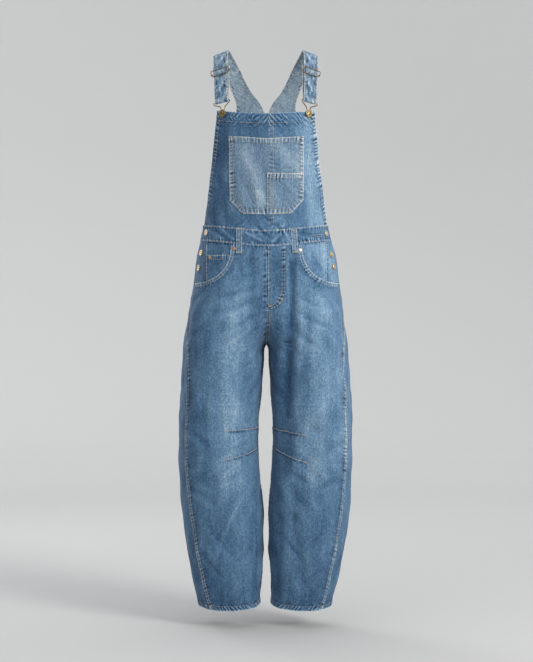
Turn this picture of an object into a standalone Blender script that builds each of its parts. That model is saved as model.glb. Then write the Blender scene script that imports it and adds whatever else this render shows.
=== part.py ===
"""Denim wide-leg bib overalls, filled out as worn, with nobody in them.

Metres, +Z up. The garment faces -Y, and its right side, R, is at -X. The origin lies in the
middle plane on the line where the two straps cross the tops of the shoulders, which carry it.

Every cloth piece is a wall on one shared surface. A place on that surface is given by the side,
by a number q that runs round half of the garment, and by the height z. q is 0 at the middle of
the front, or at the inseam below the crotch, 1 at the side, and 2 at the middle of the back.
"""
import math

import bmesh
import bpy
import numpy as np
from mathutils import Vector
from mathutils.geometry import delaunay_2d_cdt

MM = 0.001

# Cloth
CLOTH = 1.4 * MM                # one layer of heavy denim
THIN = 1.2 * MM                 # pocket pieces and plackets
DOUBLE = 2.4 * MM               # waistband and straps, two layers
SEAM = 0.3 * MM                 # space between two pieces at a seam
LAYER = 0.6 * MM                # space between a piece and what lies on it
Q_SEAM = 0.0016                 # the seam space, as a step of q

# Heights
WAIST_TOP = -0.441              # upper edge of the waistband at the side
WAIST_SEAM = -0.481             # lower edge of the waistband at the side
FRONT_DIP = 0.0175              # how much lower the waistband lies at the middle of the front
BACK_RISE = 0.006               # how much higher it lies at the middle of the back
FORK_FRONT = -0.635             # where the front starts to turn in between the legs
FORK_BACK = -0.560              # where the seat does
CROTCH = -0.741
FORK_FLARE = 0.016              # height over which the two legs part below the crotch
SIDE_SEAM_LOW = -0.600          # down to here the outseam lies right at the side
HEM = -1.403                    # lower edge of the leg at the inseam
HEM_DIP = 0.010                 # how much lower the hem lies at the middle of the front

# Half of the garment in level sections, from the chest down to the hem.
#  z      height                       core   how far out the section's deepest point lies
#  out_r  reach of the right side      front  depth ahead of the side line
#  out_l  reach of the left side       back   depth behind the side line
#  in_r   inseam to the middle plane   mid    the side line's own place, to the front or back
#  in_l   the same on the left         power  2 is an ellipse, more is squarer
SECTION_COLUMNS = ("z", "out_r", "out_l", "in_r", "in_l", "core", "front", "back", "mid", "power")
SECTIONS = (
    (-1.420, 0.1690, 0.1630, 0.0166, 0.0115, 0.0915, 0.060, 0.060, 0.010, 2.10),
    (-1.382, 0.1798, 0.1721, 0.0166, 0.0115, 0.0965, 0.066, 0.065, 0.008, 2.10),
    (-1.331, 0.1900, 0.1849, 0.0115, 0.0115, 0.1000, 0.073, 0.072, 0.006, 2.10),
    (-1.280, 0.2000, 0.1950, 0.0089, 0.0064, 0.1030, 0.079, 0.078, 0.004, 2.10),
    (-1.178, 0.2129, 0.2104, 0.0090, 0.0070, 0.1100, 0.089, 0.087, 0.000, 2.15),
    (-1.076, 0.2225, 0.2165, 0.0166, 0.0115, 0.1180, 0.097, 0.093, -0.003, 2.20),
    (-0.974, 0.2231, 0.2180, 0.0217, 0.0166, 0.1210, 0.103, 0.096, -0.004, 2.20),
    (-0.872, 0.2180, 0.2150, 0.0140, 0.0115, 0.1150, 0.112, 0.106, -0.002, 2.25),
    (-0.770, 0.2129, 0.2078, 0.0070, 0.0060, 0.1080, 0.122, 0.126, 0.002, 2.30),
    (-0.719, 0.2078, 0.2027, 0.0064, 0.0060, 0.1000, 0.126, 0.137, 0.003, 2.35),
    (-0.668, 0.1985, 0.1955, 0.0064, 0.0060, 0.0850, 0.127, 0.143, 0.004, 2.40),
    (-0.617, 0.1900, 0.1900, 0.0064, 0.0060, 0.0600, 0.125, 0.142, 0.004, 2.35),
    (-0.566, 0.1830, 0.1830, 0.0064, 0.0060, 0.0350, 0.121, 0.134, 0.003, 2.30),
    (-0.515, 0.1765, 0.1760, 0.0064, 0.0060, 0.0150, 0.117, 0.123, 0.001, 2.25),
    (-0.481, 0.1680, 0.1655, 0.0064, 0.0060, 0.0050, 0.114, 0.116, 0.000, 2.20),
    (-0.441, 0.1605, 0.1565, 0.0064, 0.0060, 0.0000, 0.113, 0.112, 0.000, 2.20),
    (-0.300, 0.1560, 0.1520, 0.0064, 0.0060, 0.0000, 0.110, 0.107, 0.000, 2.20),
    (-0.130, 0.1500, 0.1460, 0.0064, 0.0060, 0.0000, 0.103, 0.108, 0.000, 2.20),
)
TABLE = {name: np.array([row[i] for row in SECTIONS]) for i, name in enumerate(SECTION_COLUMNS)}

# Where the outseam runs, as q: at the side by the hip, well ahead of it down the leg
OUTSEAM = (
    # z, q
    (-1.420, 0.755),
    (-1.300, 0.786),
    (-1.178, 0.796),
    (-0.930, 0.787),
    (-0.760, 0.793),
    (-0.700, 0.825),
    (-0.650, 0.905),
    (-0.600, 1.000),
    (-0.480, 1.000),
)

# The largest folds. Each is a soft trough (depth below 0) or ridge along a line on one face.
FOLDS = (
    # face, x0, z0, x1, z1, half_width, depth
    ("front", 0.064, -0.545, 0.058, -0.700, 0.0110, -0.0095),
    ("front", 0.058, -0.700, 0.048, -0.920, 0.0140, -0.0110),
    ("front", 0.048, -0.920, 0.044, -1.060, 0.0170, -0.0060),
    ("front", -0.040, -0.535, -0.038, -0.680, 0.0120, -0.0050),
    ("front", 0.120, -0.960, 0.075, -1.130, 0.0220, -0.0050),
    ("front", -0.150, -1.080, -0.100, -1.230, 0.0240, -0.0045),
    ("front", 0.060, -1.180, 0.085, -1.330, 0.0180, -0.0055),
    ("front", -0.060, -0.800, -0.045, -0.930, 0.0180, -0.0045),
    ("back", 0.090, -0.790, 0.060, -0.930, 0.0180, -0.0070),
    ("back", -0.092, -0.780, -0.064, -0.900, 0.0170, -0.0065),
    ("back", 0.130, -0.960, 0.070, -1.060, 0.0200, -0.0070),
    ("back", -0.128, -0.980, -0.072, -1.070, 0.0200, -0.0075),
    ("back", 0.080, -1.180, 0.110, -1.300, 0.0190, -0.0050),
    ("back", -0.085, -1.200, -0.112, -1.310, 0.0190, -0.0050),
)


def follow(heights, values, z):
    """Smooth curve through a table's rows, read at the heights z."""
    heights = np.asarray(heights)
    values = np.asarray(values)
    slopes = np.gradient(values, heights)
    z = np.clip(z, heights[0], heights[-1])
    low = np.clip(np.searchsorted(heights, z) - 1, 0, len(heights) - 2)
    span = heights[low + 1] - heights[low]
    t = (z - heights[low]) / span
    rise = values[low + 1] - values[low]
    curve = t * t * (3 - 2 * t)
    lead = t * (1 - t) ** 2 * slopes[low] * span
    trail = t * t * (t - 1) * slopes[low + 1] * span
    return values[low] + rise * curve + lead + trail


def section(side, z):
    """The sizes of the half section at each height, as a dictionary of arrays."""
    part = {name: follow(TABLE["z"], TABLE[name], z) for name in SECTION_COLUMNS[3:]}
    right = np.asarray(side) < 0
    part["out"] = np.where(right, follow(TABLE["z"], TABLE["out_r"], z),
                           follow(TABLE["z"], TABLE["out_l"], z))
    inseam = np.where(right, part["in_r"], part["in_l"])
    parted = np.sqrt(np.clip((CROTCH - z) / FORK_FLARE, 0, 1))
    part["inner"] = SEAM / 2 + (inseam - SEAM / 2) * parted
    for face, top in (("front", FORK_FRONT), ("back", FORK_BACK)):
        turned = np.clip((top - z) / (top - CROTCH), 0, 1)
        part["fork_" + face] = np.sqrt(1 - turned ** 2)
    part["core"] = np.maximum(part["core"], part["inner"])
    return part


def reach_in(part, face):
    """Half-width of the section towards the inseam."""
    n = part["power"]
    closed = (1 - part["fork_" + face] ** n) ** (1 / n)
    reach = (part["core"] - part["inner"]) / np.maximum(closed, 1e-6)
    return np.where(part["core"] - part["inner"] < 1e-4, part["out"] - part["core"], reach)


def surface(side, q, z):
    """Point of the smooth surface at q and z on one side, without its folds."""
    part = section(side, z)
    n = part["power"]
    half = math.pi / 2
    lead_front = np.arctan2(part["core"] - part["inner"], part["fork_front"] * part["front"])
    lead_back = np.arctan2(part["core"] - part["inner"], part["fork_back"] * part["back"])
    angle = np.where(q <= 1, -lead_front + (half + lead_front) * q,
                     half + (half + lead_back) * (q - 1))
    sine = np.sin(angle)
    cosine = np.cos(angle)
    inward = np.where(q <= 1, reach_in(part, "front"), reach_in(part, "back"))
    wide = np.where(sine > 0, part["out"] - part["core"], inward)
    deep = np.where(cosine > 0, part["front"], part["back"])
    radius = ((np.abs(sine) / wide) ** n + (np.abs(cosine) / deep) ** n) ** (-1 / n)
    x = side * (part["core"] + radius * sine)
    y = part["mid"] - radius * cosine
    return np.stack([x, y, z + 0 * x], axis=-1)


def surface_normal(side, q, z):
    """Outward direction of the smooth surface."""
    step = 1e-4
    along = surface(side, q + step, z) - surface(side, q - step, z)
    up = surface(side, q, z + step) - surface(side, q, z - step)
    out = np.cross(along, up) * np.asarray(side)[..., None]
    return out / np.linalg.norm(out, axis=-1, keepdims=True)


def fold_height(face, x, z):
    """How far the folds of one face lift or sink the cloth at x and z."""
    height = np.zeros_like(x)
    for where, x0, z0, x1, z1, half_width, depth in FOLDS:
        if where != face:
            continue
        run = np.array([x1 - x0, z1 - z0])
        share = ((x - x0) * run[0] + (z - z0) * run[1]) / (run @ run)
        share = np.clip(share, 0, 1)
        away = np.hypot(x - x0 - run[0] * share, z - z0 - run[1] * share)
        height = height + depth * np.exp(-(away / half_width) ** 2)
    return height


def cloth(side, q, z, lift=0.0):
    """Point of the folded cloth, moved out along the surface's normal by lift."""
    point = surface(side, q, z)
    normal = surface_normal(side, q, z)
    ahead = np.clip(0.5 - normal[..., 1] * 1.6, 0, 1)
    fold = fold_height("front", point[..., 0], z) * ahead
    fold = fold + fold_height("back", point[..., 0], z) * (1 - ahead)
    point = point + normal * (fold + lift)[..., None]
    point[..., 0] = side * np.maximum(side * point[..., 0], SEAM / 2)
    return point


def q_at(side, x, z):
    """The q of a point on the front, from its distance x to the middle plane."""
    side, x, z = np.broadcast_arrays(np.asarray(side, float), np.abs(x), np.asarray(z, float))
    part = section(side, z)
    n = part["power"]
    outside = x >= part["core"]
    wide = np.where(outside, part["out"] - part["core"], reach_in(part, "front"))
    share = np.clip(np.abs(x - part["core"]) / wide, 0, 1)
    angle = np.arctan2(share * wide, part["front"] * (1 - share ** n) ** (1 / n))
    angle = np.where(outside, angle, -angle)
    lead = np.arctan2(part["core"] - part["inner"], part["fork_front"] * part["front"])
    return (angle + lead) / (math.pi / 2 + lead)


def outseam_q(z):
    """The q of the outseam at the height z."""
    heights, marks = zip(*OUTSEAM)
    return np.minimum(np.where(np.asarray(z) > SIDE_SEAM_LOW, 1.0, follow(heights, marks, z)), 1.0)


def waist_z(level, q):
    """Height of a line round the waist, lower in front and a little higher behind."""
    bow = np.cos(np.clip(q, 0, 2) * math.pi / 2)
    return level - FRONT_DIP * np.clip(bow, 0, 1) ** 2 + BACK_RISE * np.clip(-bow, 0, 1) ** 2


def hem_z(q):
    """Height of the leg's lower edge."""
    bow = np.sin(math.pi * q)
    return HEM - np.where(q < 1, HEM_DIP * bow, -0.3 * HEM_DIP * bow) - 0.003 * np.minimum(q, 2 - q)


# Frames: how a piece's own flat coordinates (u, z) lie on the surface
def front_frame(u, z, lift):
    """u runs across the front from -1 at the right side to 1 at the left side."""
    side = np.where(u < 0, -1.0, 1.0)
    return cloth(side, np.abs(u), z, lift)


def back_frame(u, z, lift):
    """u runs across the back, 0 at its middle."""
    side = np.where(u < 0, -1.0, 1.0)
    return cloth(side, 2 - np.abs(u), z, lift)


def side_frame(side):
    """u is q itself, on one side only."""
    def place(u, z, lift):
        return cloth(np.full_like(u, side), u, z, lift)
    return place


U_SCALE = 0.20                  # metres that one unit of u stands for when a piece is meshed
U_STEP = 0.080                  # spacing of a piece's inner points along u
Z_STEP = 0.030                  # and along z
SEAM_Q = 0.090                  # both sides of a seam have their points at the same places:
SEAM_Z = 0.030                  # at multiples of these
LONGEST = 0.040                 # and no edge is longer than this


def between(start, end, step):
    """start, the multiples of the step between start and end, and end."""
    low, high = min(start, end), max(start, end)
    clear = 0.25 * step
    marks = [k * step for k in range(math.floor(low / step), math.ceil(high / step) + 1)]
    marks = [m for m in marks if low + clear < m < high - clear]
    return [low] + marks + [high] if start < end else [high] + marks[::-1] + [low]


def split_line(start, end, frame, longest):
    """Points from start to just before end, no further apart on the cloth than longest."""
    count = 24
    share = np.linspace(0, 1, count + 1)
    u = start[0] + (end[0] - start[0]) * share
    z = start[1] + (end[1] - start[1]) * share
    line = frame(u, z, np.zeros_like(u))
    length = np.concatenate([[0], np.cumsum(np.linalg.norm(np.diff(line, axis=0), axis=1))])
    pieces = max(1, math.ceil(length[-1] / longest))
    marks = np.interp(np.arange(pieces) / pieces * length[-1], length, share)
    return [(start[0] + (end[0] - start[0]) * m, start[1] + (end[1] - start[1]) * m)
            for m in marks]


def inside_points(outline, spots, margin):
    """Points of a lattice that lie inside the outline, at least the margin from its edge."""
    edge = np.array(outline) * (U_SCALE, 1.0)
    after = np.roll(edge, -1, axis=0)
    kept = []
    run = after - edge
    for u, z in spots:
        spot = np.array([u * U_SCALE, z])
        share = np.einsum("ij,ij->i", spot - edge, run) / np.einsum("ij,ij->i", run, run)
        near = edge + run * np.clip(share, 0, 1)[:, None]
        if np.min(np.linalg.norm(near - spot, axis=1)) < margin:
            continue
        crosses = (edge[:, 1] > z) != (after[:, 1] > z)
        rise = np.where(crosses, run[:, 1], 1.0)
        cut = edge[:, 0] + run[:, 0] * (z - edge[:, 1]) / rise
        if np.count_nonzero(crosses & (cut > spot[0])) % 2:
            kept.append((u, z))
    return kept


def lattice(outline, u_step, z_step, fine):
    """Points on a lattice over the outline, at half its steps inside the box fine."""
    low = np.min(outline, axis=0)
    high = np.max(outline, axis=0)
    points = []
    for row in range(math.ceil(2 * low[1] / z_step), math.floor(2 * high[1] / z_step) + 1):
        for column in range(math.ceil(2 * low[0] / u_step), math.floor(2 * high[0] / u_step) + 1):
            u = column * u_step / 2
            z = row * z_step / 2
            inside = fine and fine[0] < u < fine[1] and fine[2] < z < fine[3]
            if inside or (row % 2 == 0 and column % 2 == 0):
                points.append((u, z))
    return points


def add_object(name, mesh, colour, roughness, metallic=0.0):
    """Make the object and its own material."""
    thing = bpy.data.objects.new(name, mesh)
    bpy.context.collection.objects.link(thing)
    look = bpy.data.materials.new(name + "_look")
    look.use_nodes = True
    shader = look.node_tree.nodes["Principled BSDF"]
    shader.inputs["Base Color"].default_value = (*colour, 1.0)
    shader.inputs["Roughness"].default_value = roughness
    shader.inputs["Metallic"].default_value = metallic
    mesh.materials.append(look)
    return thing


DENIM = (0.13, 0.24, 0.42)
DENIM_PALE = (0.17, 0.30, 0.48)
DENIM_DARK = (0.09, 0.17, 0.31)
OLD_BRASS = (0.36, 0.25, 0.10)
GOLD = (0.70, 0.52, 0.28)
COPPER = (0.62, 0.29, 0.15)
STEEL = (0.62, 0.62, 0.60)


def cloth_piece(name, frame, outline, lift=0.0, thickness=CLOTH, colour=DENIM,
                u_step=U_STEP, z_step=Z_STEP, fine=None, longest=LONGEST):
    """A wall of cloth over an outline given in u and z, its outer face moved out by lift."""
    edge = []
    for start, end in zip(outline, outline[1:] + outline[:1]):
        edge += split_line(start, end, frame, longest)
    margin = 0.40 * min(z_step, u_step * U_SCALE)
    points = edge + inside_points(edge, lattice(edge, u_step, z_step, fine), margin)
    flat = [Vector((u * U_SCALE, z)) for u, z in points]
    found, _, faces, _, _, _ = delaunay_2d_cdt(flat, [], [list(range(len(edge)))], 1, 1e-6)
    u = np.array([spot[0] / U_SCALE for spot in found])
    z = np.array([spot[1] for spot in found])
    outer = frame(u, z, np.full_like(u, lift))
    inner = frame(u, z, np.full_like(u, lift - thickness))
    form = bmesh.new()
    top = [form.verts.new(spot) for spot in outer]
    under = [form.verts.new(spot) for spot in inner]
    edges = {}
    for face in faces:
        form.faces.new([top[i] for i in face])
        form.faces.new([under[i] for i in reversed(face)])
        for a, b in zip(face, face[1:] + face[:1]):
            edges[(a, b)] = edges.get((b, a)) is None
            if not edges[(a, b)]:
                edges[(b, a)] = False
    for (a, b), rim in edges.items():
        if rim:
            form.faces.new([top[b], top[a], under[a], under[b]])
    bmesh.ops.recalc_face_normals(form, faces=form.faces)
    mesh = bpy.data.meshes.new(name)
    form.to_mesh(mesh)
    form.free()
    mesh.shade_smooth()
    mesh.set_sharp_from_angle(angle=math.radians(50))
    return add_object(name, mesh, colour, 0.9)


SIDES = (("R", -1.0), ("L", 1.0))

# Pocket mouth: a quarter of a squarish ellipse from the waist seam out to the side
MOUTH_X = 0.0887                # its start at the waistband, from the middle plane
MOUTH_TOP = -0.497
MOUTH_LOW = -0.5885             # where it meets the side
MOUTH_REACH = 0.182             # half-width of the garment there
MOUTH_POWER = 2.2
MOUTH_STEPS = 11


def mouth_line(side, shift=0.0):
    """The pocket mouth from the waistband to the side, moved up and out by shift."""
    line = []
    for i in range(MOUTH_STEPS + 1):
        angle = math.pi / 2 * i / MOUTH_STEPS
        x = MOUTH_REACH - (MOUTH_REACH - MOUTH_X) * math.cos(angle) ** (2 / MOUTH_POWER)
        z = MOUTH_TOP - (MOUTH_TOP - MOUTH_LOW) * math.sin(angle) ** (2 / MOUTH_POWER)
        x += shift * math.cos(angle)
        z += shift * math.sin(angle)
        q = float(q_at(side, x, z)) if i < MOUTH_STEPS else 1.0
        line.append((q, z))
    return line


def mouth_z(x):
    """Height of the pocket mouth at a distance x from the middle plane."""
    share = (MOUTH_REACH - x) / (MOUTH_REACH - MOUTH_X)
    return MOUTH_TOP - (MOUTH_TOP - MOUTH_LOW) * (1 - share ** MOUTH_POWER) ** (1 / MOUTH_POWER)


def across(level, start, end, gap):
    """Points along a line round the waist, from one q to another."""
    return [(q, float(waist_z(level, q)) + gap) for q in between(start, end, SEAM_Q)]


def hem_line(start, end):
    """Points along the lower edge of a leg."""
    return [(q, float(hem_z(q))) for q in between(start, end, SEAM_Q)]


def outseam_line(high, low, gap):
    """Points down the outseam from one height to another."""
    return [(float(outseam_q(z)) + gap, z) for z in between(high, low, SEAM_Z)]


FORK_STEPS = 7


def middle_line(q, low, high, fork_top):
    """Points up the inseam from the hem to the crotch, and up the middle seam to the waist."""
    turns = [math.pi / 2 * i / FORK_STEPS for i in range(FORK_STEPS + 1)]
    fork = [fork_top - (fork_top - CROTCH) * math.cos(turn) for turn in turns]
    inseam = between(low, CROTCH, SEAM_Z)[:-1] + [CROTCH - FORK_FLARE / 4]
    return [(q, z) for z in inseam + fork + between(fork_top, high, SEAM_Z)[1:]]


FRONT_FINE = (0.0, 0.56, -0.70, -0.49)      # where the front needs closer points: the deep fold


def make_legs():
    """The front and back panel of each leg."""
    for mark, side in SIDES:
        place = side_frame(side)
        half = Q_SEAM / 2
        mouth = mouth_line(side)
        start = (mouth[0][0], float(waist_z(WAIST_SEAM, mouth[0][0])) - SEAM / 2)
        low = float(hem_z(float(outseam_q(HEM))))
        seam = outseam_line(SIDE_SEAM_LOW, low, -half)
        hem = hem_line(seam[-1][0], half)
        waist = across(WAIST_SEAM, half, start[0], -SEAM / 2)
        middle = middle_line(half, hem[-1][1], waist[0][1], FORK_FRONT)
        outline = waist + mouth[1:-1] + [(1.0 - half, MOUTH_LOW)] + seam + hem[1:-1] + middle[:-1]
        cloth_piece("leg_front_" + mark, place, outline, colour=DENIM, fine=FRONT_FINE)

        waist = across(WAIST_SEAM, 2.0 - half, 1.0 + half, -SEAM / 2)
        seam = outseam_line(waist[-1][1], low, half)
        hem = hem_line(seam[-1][0], 2.0 - half)
        middle = middle_line(2.0 - half, hem[-1][1], waist[0][1], FORK_BACK)
        outline = waist[:-1] + seam + hem[1:-1] + middle[:-1]
        cloth_piece("leg_back_" + mark, place, outline, colour=DENIM_DARK, u_step=0.090,
                    z_step=0.036)


SMALL = {"u_step": 0.06, "z_step": 0.02}    # closer points for small pieces
FACING_TUCK = 0.016             # how far the facing runs on under the front panel
FACING_REACH = 0.160            # its outer edge, under the side placket
FACING_CORNER = 0.030           # its lower edge stops this much of q short of the outer one
FACING_LIFT = -(CLOTH + 0.9 * MM)
COIN_IN = 0.0925                # the coin pocket's edges, from the middle plane
COIN_OUT = 0.1478
COIN_TOP = -0.5195
COIN_LIFT = FACING_LIFT + LAYER + THIN
PLACKET_IN = 0.1485             # inner edge of the side placket
PLACKET_OUT = 0.176             # the last point of its lower edge before the side seam
MOUTH_CLEAR = 1.5 * MM          # space between the front panel's edge and what shows above it
ABOVE_STEPS = 5


def above_mouth(side, start, end):
    """Points just above the pocket mouth, from one distance out to another."""
    line = []
    for i in range(ABOVE_STEPS + 1):
        x = start + (end - start) * i / ABOVE_STEPS
        z = mouth_z(x) + MOUTH_CLEAR
        line.append((float(q_at(side, x, z)), z))
    return line


def make_hips():
    """What shows above the pocket mouths: the facings, the coin pocket and the side plackets."""
    for mark, side in SIDES:
        place = side_frame(side)
        tucked = mouth_line(side, -FACING_TUCK)
        reach = float(q_at(side, FACING_REACH, MOUTH_LOW))
        top = across(WAIST_SEAM, tucked[0][0], reach, -SEAM)
        low = [(q, z) for q, z in tucked[1:] if q < reach - FACING_CORNER]
        outline = top + [(reach, MOUTH_LOW - FACING_TUCK)] + low[::-1]
        cloth_piece("hip_facing_" + mark, place, outline, FACING_LIFT, THIN, DENIM_DARK,
                    longest=SMALL["z_step"], **SMALL)

        inner = float(q_at(side, PLACKET_IN, WAIST_SEAM))
        outer = 1.0 - Q_SEAM / 2
        top = across(WAIST_SEAM, inner, outer, -SEAM / 2)
        edge = [(outer, z) for z in between(top[-1][1], MOUTH_LOW + MOUTH_CLEAR, SEAM_Z)]
        outline = top[:-1] + edge + above_mouth(side, PLACKET_IN, PLACKET_OUT)[::-1]
        cloth_piece("side_placket_" + mark, place, outline, 0.0, THIN, DENIM, **SMALL)

    side = -1.0
    corners = [(float(q_at(side, x, COIN_TOP)), COIN_TOP) for x in (COIN_IN, COIN_OUT)]
    outline = corners + above_mouth(side, COIN_IN, COIN_OUT)[::-1]
    cloth_piece("coin_pocket_R", side_frame(side), outline, COIN_LIFT, THIN, DENIM,
                longest=SMALL["z_step"], **SMALL)


FLY_IN = 0.0037                 # the overlap's edge, from the middle plane
FLY_OUT = 0.0475
FLY_LOW = -0.655
FLY_TOE = 0.006                 # the straight part of its lower edge
FLY_BEND = -0.600               # where its curved end starts
FLY_STEPS = 5
FLY_CLEAR = 1.0 * MM            # space between its upper edge and the waistband


def front_spot(x, z):
    """Flat coordinates of a point on the front."""
    side = math.copysign(1.0, x)
    return side * float(q_at(side, abs(x), z)), z


def make_fly():
    """The overlap down the middle of the front, with a curved lower end."""
    top = [float(waist_z(WAIST_SEAM, q_at(1.0, x, WAIST_SEAM - FRONT_DIP))) - FLY_CLEAR
           for x in (FLY_IN, FLY_OUT)]
    outline = [front_spot(FLY_IN, top[0]), front_spot(FLY_IN, FLY_LOW)]
    start = FLY_IN + FLY_TOE
    for i in range(FLY_STEPS + 1):
        angle = math.pi / 2 * i / FLY_STEPS
        x = start + (FLY_OUT - start) * math.sin(angle)
        z = FLY_BEND - (FLY_BEND - FLY_LOW) * math.cos(angle)
        outline.append(front_spot(x, z))
    outline.append(front_spot(FLY_OUT, top[1]))
    cloth_piece("fly_placket", front_frame, outline, LAYER + THIN, THIN, DENIM,
                u_step=U_STEP / 2, z_step=Z_STEP / 2, longest=Z_STEP / 2)


BAND_LIFT = 0.6 * MM
BAND_STEP = 0.020               # spacing of the waistband's points up and down
LOOP_WIDTH = 0.0135
LOOP_LIFT = BAND_LIFT + 0.4 * MM
LOOP_THICK = 1.8 * MM
LOOP_STEP = 0.016
LOOP_RISE = 0.004               # how far a loop behind reaches above the waistband
LOOP_DROP = 0.022               # how far it reaches below
BACK_SPAN = 0.19                # metres round the back that one unit of u stands for
FRONT_LOOPS = (
    # name, x at the top, x at the bottom, top, bottom
    ("R", -0.0672, -0.0672, -0.4520, -0.5175),
    ("L", 0.0672, 0.0715, -0.4560, -0.5165),
)
BACK_LOOPS = (
    # name, u
    ("R", -0.70),
    ("C", 0.0),
    ("L", 0.70),
)


def belt_loop(name, frame, outline):
    """A belt loop over an outline given in u and z."""
    cloth_piece("belt_loop_" + name, frame, outline, LOOP_LIFT + LOOP_THICK, LOOP_THICK,
                DENIM_PALE, z_step=LOOP_STEP)


def make_waist():
    """The two halves of the waistband and the belt loops on them."""
    end = 1.0 - Q_SEAM / 2
    for name, frame, middle in (("front", front_frame, 0.0), ("back", back_frame, 2.0)):
        turn = between(middle, abs(middle - end), SEAM_Q)
        line = [(-abs(q - middle), q) for q in turn[:0:-1]] + [(abs(q - middle), q) for q in turn]
        low = [(u, float(waist_z(WAIST_SEAM, q)) + SEAM / 2) for u, q in line]
        top = [(u, float(waist_z(WAIST_TOP, q))) for u, q in line]
        cloth_piece("waistband_" + name, frame, low + top[::-1], BAND_LIFT, DOUBLE, DENIM_PALE,
                    z_step=BAND_STEP)
    for mark, x_top, x_low, top, low in FRONT_LOOPS:
        half = LOOP_WIDTH / 2
        corners = ((x_low - half, low), (x_low + half, low), (x_top + half, top), (x_top - half, top))
        belt_loop("front_" + mark, front_frame, [front_spot(x, z) for x, z in corners])
    for mark, middle in BACK_LOOPS:
        left = middle - LOOP_WIDTH / 2 / BACK_SPAN
        right = middle + LOOP_WIDTH / 2 / BACK_SPAN
        top = float(waist_z(WAIST_TOP, 2 - abs(middle))) + LOOP_RISE
        low = float(waist_z(WAIST_SEAM, 2 - abs(middle))) - LOOP_DROP
        belt_loop("back_" + mark, back_frame, [(left, low), (right, low), (right, top), (left, top)])


BIB_TOP = -0.1565               # the bib's upper corners
BIB_SAG = 0.0115                # how much lower its upper edge lies in the middle
BIB_SEAM = 0.0035               # the felled seam down its middle lies a little to the left
BIB_HOLLOW = 0.002              # how much its side edges bow inwards
BIB_EDGE = {
    # side: distance from the middle plane at the top and at the waistband
    -1.0: (0.1235, 0.1570),
    1.0: (0.1200, 0.1520),
}
BIB_STEPS = 7
BIB_U_STEP = 0.09


def bib_side(side, z):
    """Distance of the bib's side edge from the middle plane."""
    top, low = BIB_EDGE[side]
    share = (BIB_TOP - z) / (BIB_TOP - WAIST_TOP)
    return top + (low - top) * share - BIB_HOLLOW * math.sin(math.pi * min(max(share, 0), 1))


def make_bib():
    """The front bib, in two halves."""
    for mark, side in SIDES:
        middle = BIB_SEAM + side * SEAM / 2
        start = front_spot(middle, WAIST_TOP)[0]
        end = front_spot(side * bib_side(side, WAIST_TOP), WAIST_TOP)[0]
        outline = [(u, float(waist_z(WAIST_TOP, abs(u))) + SEAM) for u in between(start, end, SEAM_Q)]
        foot = outline[-1][1]
        for i in range(1, BIB_STEPS + 1):
            z = foot + (BIB_TOP - foot) * i / BIB_STEPS
            outline.append(front_spot(side * bib_side(side, z), z))
        corner = side * bib_side(side, BIB_TOP)
        for i in range(1, BIB_STEPS + 1):
            x = corner + (middle - corner) * i / BIB_STEPS
            outline.append(front_spot(x, BIB_TOP - BIB_SAG * (1 - (x / corner) ** 2)))
        cloth_piece("bib_front_" + mark, front_frame, outline, colour=DENIM, u_step=BIB_U_STEP)


POCKET = (
    # x, z of the right half, from the top middle round to the bottom middle
    (0.0000, -0.2315),
    (0.0925, -0.2235),
    (0.0910, -0.3830),
    (0.0605, -0.4175),
    (0.0000, -0.4198),
)
POCKET_LIFT = LAYER + THIN
POCKET_LONGEST = 0.018          # longest edge round the pockets
PENCIL_TOP = -0.3172
PENCIL_IN = 0.0018              # the pencil pocket's inner edge
PENCIL_INSET = 0.5 * MM         # how far it stays inside the pocket's own edges


def make_bib_pockets():
    """The pocket on the bib in two halves, and the pencil pocket laid on its left half."""
    for mark, side in SIDES:
        middle = BIB_SEAM + side * SEAM / 2
        corners = [(middle, POCKET[0][1])]
        corners += [(side * x, z) for x, z in POCKET[1:-1]]
        corners += [(middle, POCKET[-1][1])]
        outline = [front_spot(x, z) for x, z in corners]
        cloth_piece("bib_pocket_" + mark, front_frame, outline, POCKET_LIFT, THIN, DENIM_PALE,
                    u_step=BIB_U_STEP, longest=POCKET_LONGEST)
    corners = [(PENCIL_IN, PENCIL_TOP), (POCKET[1][0] - 2 * PENCIL_INSET, PENCIL_TOP)]
    corners += [(x - PENCIL_INSET, z + PENCIL_INSET) for x, z in POCKET[2:-1]]
    corners += [(PENCIL_IN, POCKET[-1][1] + PENCIL_INSET)]
    outline = [front_spot(x, z) for x, z in corners]
    cloth_piece("bib_pencil_pocket", front_frame, outline, 2 * POCKET_LIFT, THIN, DENIM_PALE,
                u_step=BIB_U_STEP, longest=POCKET_LONGEST)


BACK_TOP = -0.165               # seam between the back bib and the straps
BACK_TOP_REACH = 0.086
BACK_LOW_REACH = 0.150
BACK_CURVE = 3                  # how late the side edge flares out to the waist
BACK_SAMPLES = 401


def back_side(z):
    """Distance of the back bib's hollow side edge from the middle plane."""
    share = max((BACK_TOP - z) / (BACK_TOP - WAIST_TOP), 0)
    return BACK_TOP_REACH + (BACK_LOW_REACH - BACK_TOP_REACH) * share ** BACK_CURVE


def back_u(side, x, z):
    """Flat coordinate of a point on the back, from its distance to the middle plane."""
    marks = np.linspace(1.0, 2.0, BACK_SAMPLES)
    reach = np.abs(surface(np.full_like(marks, side), marks, np.full_like(marks, z))[:, 0])
    return side * float(2 - np.interp(-x, -reach, marks))


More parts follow.
